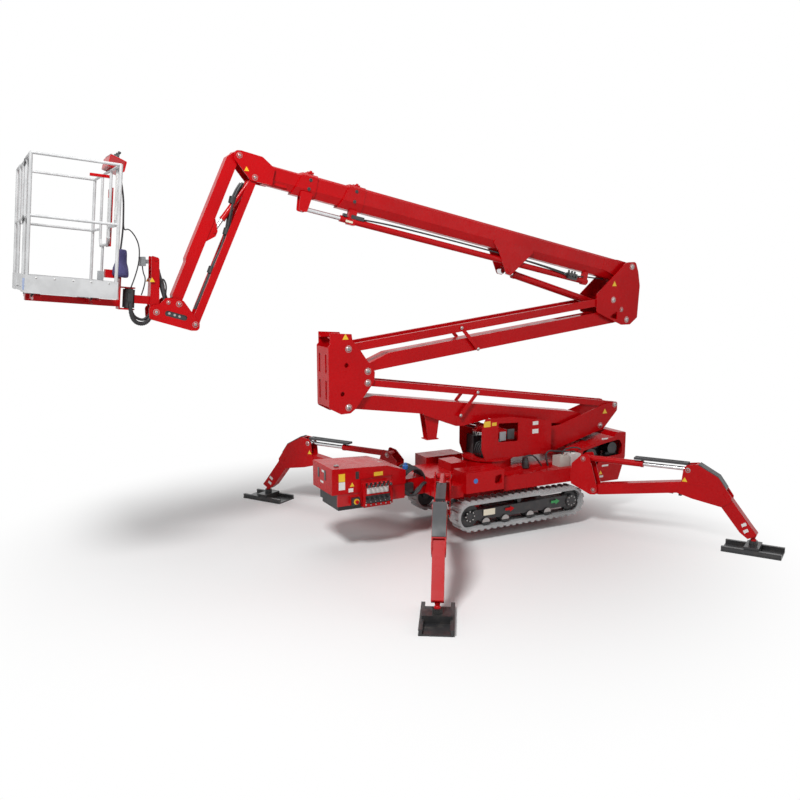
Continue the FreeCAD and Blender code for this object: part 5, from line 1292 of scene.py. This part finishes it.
@dataclass
class CoverBag:
    """Cloth bag over the lower control box on the basket's guard.

    outline pairs a share of the height with a swell of the width; power squares the bag's corners.
    """

    width: float = 200.0
    deep: float = 120.0
    tall: float = 270.0
    centre: Spot = (900.0, -95.0, 330.0)
    count: int = 40
    power: float = 0.55
    outline: tuple[Flat, ...] = (
        (0.0, 0.55), (0.015, 1.12), (0.12, 1.18), (0.34, 1.10), (0.46, 0.86), (0.54, 0.80), (0.78, 0.78),
        (0.95, 0.74), (1.0, 0.55),
    )

    def spot(self, share: float, swell: float, turn: float) -> Vector:
        """One point of the shell.

        Args:
            share: place up the bag, 0 to 1.
            swell: factor on its width there.
            turn: angle round it.

        Returns:
            The point in the basket's frame.
        """
        cosine, sine = math.cos(turn), math.sin(turn)
        fold = 1.0 + 0.045 * math.sin(turn * 5 + share * 4) * share + 0.03 * math.sin(turn * 9 + share * 7)
        x = math.copysign(abs(cosine) ** self.power, cosine) * self.deep / 2 * swell * fold
        y = math.copysign(abs(sine) ** self.power, sine) * self.width / 2 * swell * fold
        z = (share - 0.5) * self.tall + 6.0 * math.sin(turn * 3 + share * 5) * (1 - share)
        return Vector(self.centre) + Vector((x, y, z))

    def build(self) -> None:
        """Lofts a shell with folds and a drawn-in mouth."""
        turns = [2 * math.pi * index / self.count for index in range(self.count)]
        form = Form(MACHINE.basket())
        form.rings([[self.spot(share, swell, turn) for turn in turns] for share, swell in self.outline])
        bag = form.piece("guard_cover_bag", Paint.BAG, "basket", 70.0)
        smooth = bag.modifiers.new("smooth", "SUBSURF")
        smooth.levels = 1
        smooth.render_levels = 1


@dataclass
class ConsoleTrim:
    """Control panel, levers, films and slots on the ground console."""

    face: float = 280.0
    end: float = -2230.0
    lever_pitch: float = 62.0
    knob_pitch: float = 54.0
    lever: tuple[Flat, ...] = ((0, 19), (6, 19), (6, 9), (30, 8), (34, 15), (52, 15), (56, 9))
    knob: tuple[Flat, ...] = ((0, 13), (8, 17), (20, 17), (28, 9))
    stop: tuple[Flat, ...] = ((0, 15), (14, 15), (14, 22), (22, 22), (27, 15))
    gauge: tuple[Flat, ...] = ((0, 26), (3, 30), (12, 30), (15, 25), (12, 22))
    bottle: tuple[Flat, ...] = (
        (0, 30), (4, 34), (44, 34), (52, 20), (60, 18), (62, 22), (74, 22), (77, 16),
    )
    hose: float = 13.0

    def panel(self) -> None:
        """Frame, recesses, levers, unions, knobs and the stop button."""
        form = Form()
        for left, right, low, high in (
            (-1880, -1850, 548, 818), (-1540, -1510, 548, 818), (-1850, -1540, 548, 572),
            (-1850, -1540, 668, 684),
        ):
            form.block((left, -352, low), (right, -340, high), 2)
        form.block((-1880, -344, 546), (-1510, -300, 556), 2)
        form.piece("console_panel_frame", Paint.RED, "chassis")
        form = Form()
        for low, high in ((574, 666), (760, 812)):
            form.plate(oblong((-1848, low), (-1542, high)), -343.4, -340.8)
        form.block((-2010, -342, 572), (-1915, -300, 658), 4)
        form.piece("console_lever_recess", Paint.BLACK, "chassis")
        outwards = (0, -1, 0)
        spots = [(-1820 + self.lever_pitch * index, -341, 628) for index in range(5)]
        form = Form().studs(spots, outwards, self.lever)
        form.piece("console_lower_levers", Paint.BLACK, "chassis")
        places = [-1848 + self.lever_pitch * index for index in range(6)]
        form = Form().studs([(x, -351, 560) for x in places], outwards, ((0, 9), (6, 9), (9, 6)), 12)
        form.studs([(x, -341, 592) for x in places], outwards, ((0, 7), (8, 7), (10, 4)), 12)
        form.piece("console_unions", Paint.SILVER, "chassis")
        form = Form().plate(oblong((-1830, 686), (-1560, 756)), -344.6, -341.6)
        form.piece("console_white_panel", Paint.WHITE, "chassis")
        spots = [(-1830 + self.knob_pitch * index, -392, 786) for index in range(6)]
        form = Form().studs(spots, (0, -1, 0.15), self.knob)
        form.piece("console_lever_knobs", Paint.BLACK, "chassis")
        form = Form().revolve((-1960, -338, 615), outwards, ((0, 34), (6, 34), (6, 0.5)))
        form.piece("console_stop_plate", Paint.YELLOW, "chassis")
        form = Form().revolve((-1960, -343, 615), outwards, self.stop)
        form.piece("console_stop_knob", Paint.RED, "chassis")

    def films(self) -> None:
        """Blank films, slots and the strip along the top."""
        films = Stickers()
        form = Form()
        films.strip(form, (-2148, 752), (-2072, 842), self.face)
        films.strip(form, (-2030, 716), (-1972, 760), self.face)
        form.piece("console_white_films", Paint.WHITE, "chassis")
        form = Form()
        films.strip(form, (-2148, 846), (-2072, 936), self.face)
        films.strip(form, (-1712, 866), (-1600, 912), self.face)
        films.triangle(form, -1985, 800, 56, self.face)
        form.piece("console_yellow_films", Paint.YELLOW, "chassis")
        form = Form()
        films.strip(form, (-1942, 858), (-1900, 944), self.face)
        form.piece("console_black_film", Paint.BLACK, "chassis")
        form = Form()
        for y in (106, -84):
            form.block((self.end - 4, y - 24, 836), (self.end + 4, y + 24, 948), 2)
        form.piece("console_vent_slots", Paint.BLACK, "chassis")
        form = Form()
        for y, z in ((-30, 930), (10, 800)):
            form.plate(oblong((y - 42, z - 12), (y + 42, z + 12)), self.end - films.thick, self.end, "x")
        form.piece("console_end_films", Paint.WHITE, "chassis")
        form = Form().revolve((-2120, -150, 998), (0, 0, 1), self.gauge)
        form.piece("console_gauge", Paint.SILVER, "chassis")
        strip = ((-1980, -150), (-1700, -60), (-1500, -60), (-1780, -150))
        Form().plate(strip, 968, 973, "z").piece("console_top_strip", Paint.BEIGE, "chassis")

    def build(self) -> None:
        """Builds the console's trim and the hoses behind it."""
        self.panel()
        self.films()
        form = Form().revolve((-1240, -150, 868), (0, 0, 1), self.bottle, 20)
        form.piece("console_bottle", Paint.BLUE, "chassis")
        form = Form()
        for index, y in enumerate((-230, -190, -150, -110, -60, 0)):
            lift = 6 * (index % 3)
            over = ((-1250, y - 20, 872 + lift), (-1130, y - 10, 884 + lift), (-1040, y + 10, 820))
            form.tube(((-1320, y, 780), *over, (-1010, y + 20, 740)), self.hose)
        for index, y in enumerate((-250, -215, -180)):
            under = ((-1230, y - 20, 560 - 14 * index), (-1130, y - 20, 600), (-1060, y, 690))
            form.tube(((-1310, y, 640), *under, (-1000, y + 10, 700)), self.hose)
        form.piece("console_hoses", Paint.HOSE, "chassis")
        form = Form().block((-1302, -246, 596), (-1180, -120, 720), 8)
        form.block((-1290, -110, 620), (-1200, 60, 700), 6).piece("console_pump", Paint.BLACK, "chassis")


@dataclass
class ChassisTrim:
    """Roller guards, side-box spots, hub bolts, engine vents, tank cap, hoses and slew motor."""

    track_face: float = 596.0
    guard_radius: float = 52.0
    guard_height: float = 226.0
    hub_height: float = 320.0
    bolt_ring: float = 58.0
    bolts: int = 8
    vents: int = 7
    cap: tuple[Flat, ...] = ((0, 30), (4, 34), (22, 34), (26, 29))
    motor: tuple[Flat, ...] = (
        (0, 40), (8, 52), (30, 52), (34, 44), (84, 44), (90, 38), (130, 38), (134, 30),
    )

    def tracks(self) -> None:
        """Guards over the rollers and bolts round the hubs."""
        form = Form()
        half_turn = [math.pi * step / 14 for step in range(15)]
        radius = self.guard_radius
        arc = [(radius * math.cos(turn), radius * math.sin(turn)) for turn in half_turn]
        for side in SIDES:
            for x in (-393, -117, 245, 507):
                corners = [(x + along, self.guard_height + up) for along, up in arc]
                form.plate(corners, side * (self.track_face - 2), side * (self.track_face + 3))
        form.piece("roller_guards", Paint.SILVER, "chassis")
        form = Form().pair(-560, 619.5, 748, ((0, 30), (2, 30), (2, 0.5)), 28)
        form.piece("side_box_blue_spots", Paint.BLUE, "chassis")
        form = Form()
        for x in (877, -617):
            for bolt in range(self.bolts):
                angle = 2 * math.pi * bolt / self.bolts
                along = x + self.bolt_ring * math.cos(angle)
                up = self.hub_height + self.bolt_ring * math.sin(angle)
                form.pair(along, self.track_face - 1, up, ((0, 9), (5, 9), (7, 6)), 6)
        form.piece("hub_bolts", Paint.SILVER, "chassis")

    def build(self) -> None:
        """Builds the chassis's small pieces."""
        self.tracks()
        form = Form()
        for index in range(self.vents):
            x, z = 1400 + index * 34, 957 + index * 5.5
            form.block((x, -200, z), (x + 16, 200, z + 9), 2)
        form.piece("engine_vents", Paint.BLACK, "chassis")
        form = Form().revolve((1030, -404, 876), (0, 0, 1), self.cap, 20)
        form.piece("tank_cap", Paint.BLACK, "chassis")
        form = Form()
        for radius, route in (
            (9, ((860, -400, 862), (850, -420, 930), (960, -430, 960), (1120, -420, 940), (1180, -380, 900))),
            (11, ((700, -350, 700), (640, -340, 860), (700, -330, 930), (840, -320, 900), (1180, -330, 860))),
            (10, ((600, -330, 740), (520, -330, 860), (430, -300, 900), (350, -270, 860))),
        ):
            form.tube(route, radius)
        form.piece("chassis_hoses", Paint.HOSE, "chassis")
        form = Form().revolve((355, -322, 740), (0, 0, 1), self.motor, 28)
        form.piece("slew_motor", Paint.BLACK, "chassis")


@dataclass
class TurretTrim:
    """Window fittings and valve hoses in the turret."""

    hose: float = 9.0
    knob: tuple[Flat, ...] = ((0, 9), (14, 9), (16, 14), (34, 14), (38, 8))

    def build(self) -> None:
        """Builds the turret's small pieces."""
        form = Form().block((20, -250, 1100), (110, -236, 1210), 4)
        form.piece("turret_window_panel", Paint.PANEL, "turret")
        form = Form().block((130, -252, 1110), (232, -232, 1236), 6)
        form.piece("turret_window_block", Paint.BLACK, "turret")
        form = Form()
        for index, y in enumerate((-226, -190, -150, -110)):
            start = ((-140, y, 1060), (-220, y, 1080 + 12 * index), (-250, y + 20, 960))
            form.tube((*start, (-200, y + 60, 890), (-60, y + 90, 880)), self.hose)
        form.piece("turret_hoses", Paint.HOSE, "turret")
        spots = [(-70, y, 1118) for y in (-210, -160, -110, 110, 160, 210)]
        Form().studs(spots, (0, 0, 1), self.knob, 12).piece("turret_valve_knobs", Paint.SILVER, "turret")


@dataclass
class LegTrim:
    """Elbow covers, embosses, catches and hoses on the four legs."""

    cover_half: float = 68.0
    emboss: tuple[float, float] = (69.0, 73.0)
    cover: tuple[Flat, ...] = ((1225, 953), (1232, 961), (1456, 840), (1548, 712), (1538, 706), (1449, 831))
    upper: tuple[Flat, ...] = ((1130, 712), (1330, 712), (1344, 726), (1330, 740), (1130, 740), (1116, 726))
    lower: tuple[Flat, ...] = ((1500, 628), (1528, 584), (1544, 590), (1546, 604), (1518, 648), (1502, 644))
    route: tuple[Spot, ...] = ((60, 20, 560), (400, 24, 566), (700, 24, 562), (940, 20, 560))

    def build(self) -> None:
        """Builds the trim of all four legs."""
        for side_x, side_y, corner in CORNERS:
            frame = MACHINE.leg(side_x, side_y)
            body = f"leg_{corner}"
            form = Form(frame).plate(self.cover, -self.cover_half, self.cover_half)
            form.piece(f"elbow_cover_{corner}", Paint.GREY, body)
            form = Form(frame).plates(self.upper, *self.emboss).plates(self.lower, *self.emboss)
            form.piece(f"elbow_embosses_{corner}", Paint.RED, body)
            form = Form(frame).block((1010, -24, 548), (1046, 24, 596), 4)
            form.piece(f"leg_catch_{corner}", Paint.BLACK, body)
            Form(frame).tube(self.route, 8).piece(f"leg_hose_{corner}", Paint.HOSE, body)


def main() -> None:
    """Builds the studio and dresses the machine, one class after the other."""
    logging.basicConfig(level=logging.INFO, format="%(message)s")
    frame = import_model()
    MACHINE.settle()
    Studio().build()
    Finishes().build(frame["nodes"])
    for part in (
        PinCaps(), Stickers(), BoomTrim(), JibHoses(), BasketTrim(), CoverBag(), ConsoleTrim(),
        ChassisTrim(), TurretTrim(), LegTrim(),
    ):
        part.build()
        LOG.info("%s built", type(part).__name__)


if __name__ == "__main__":
    main()
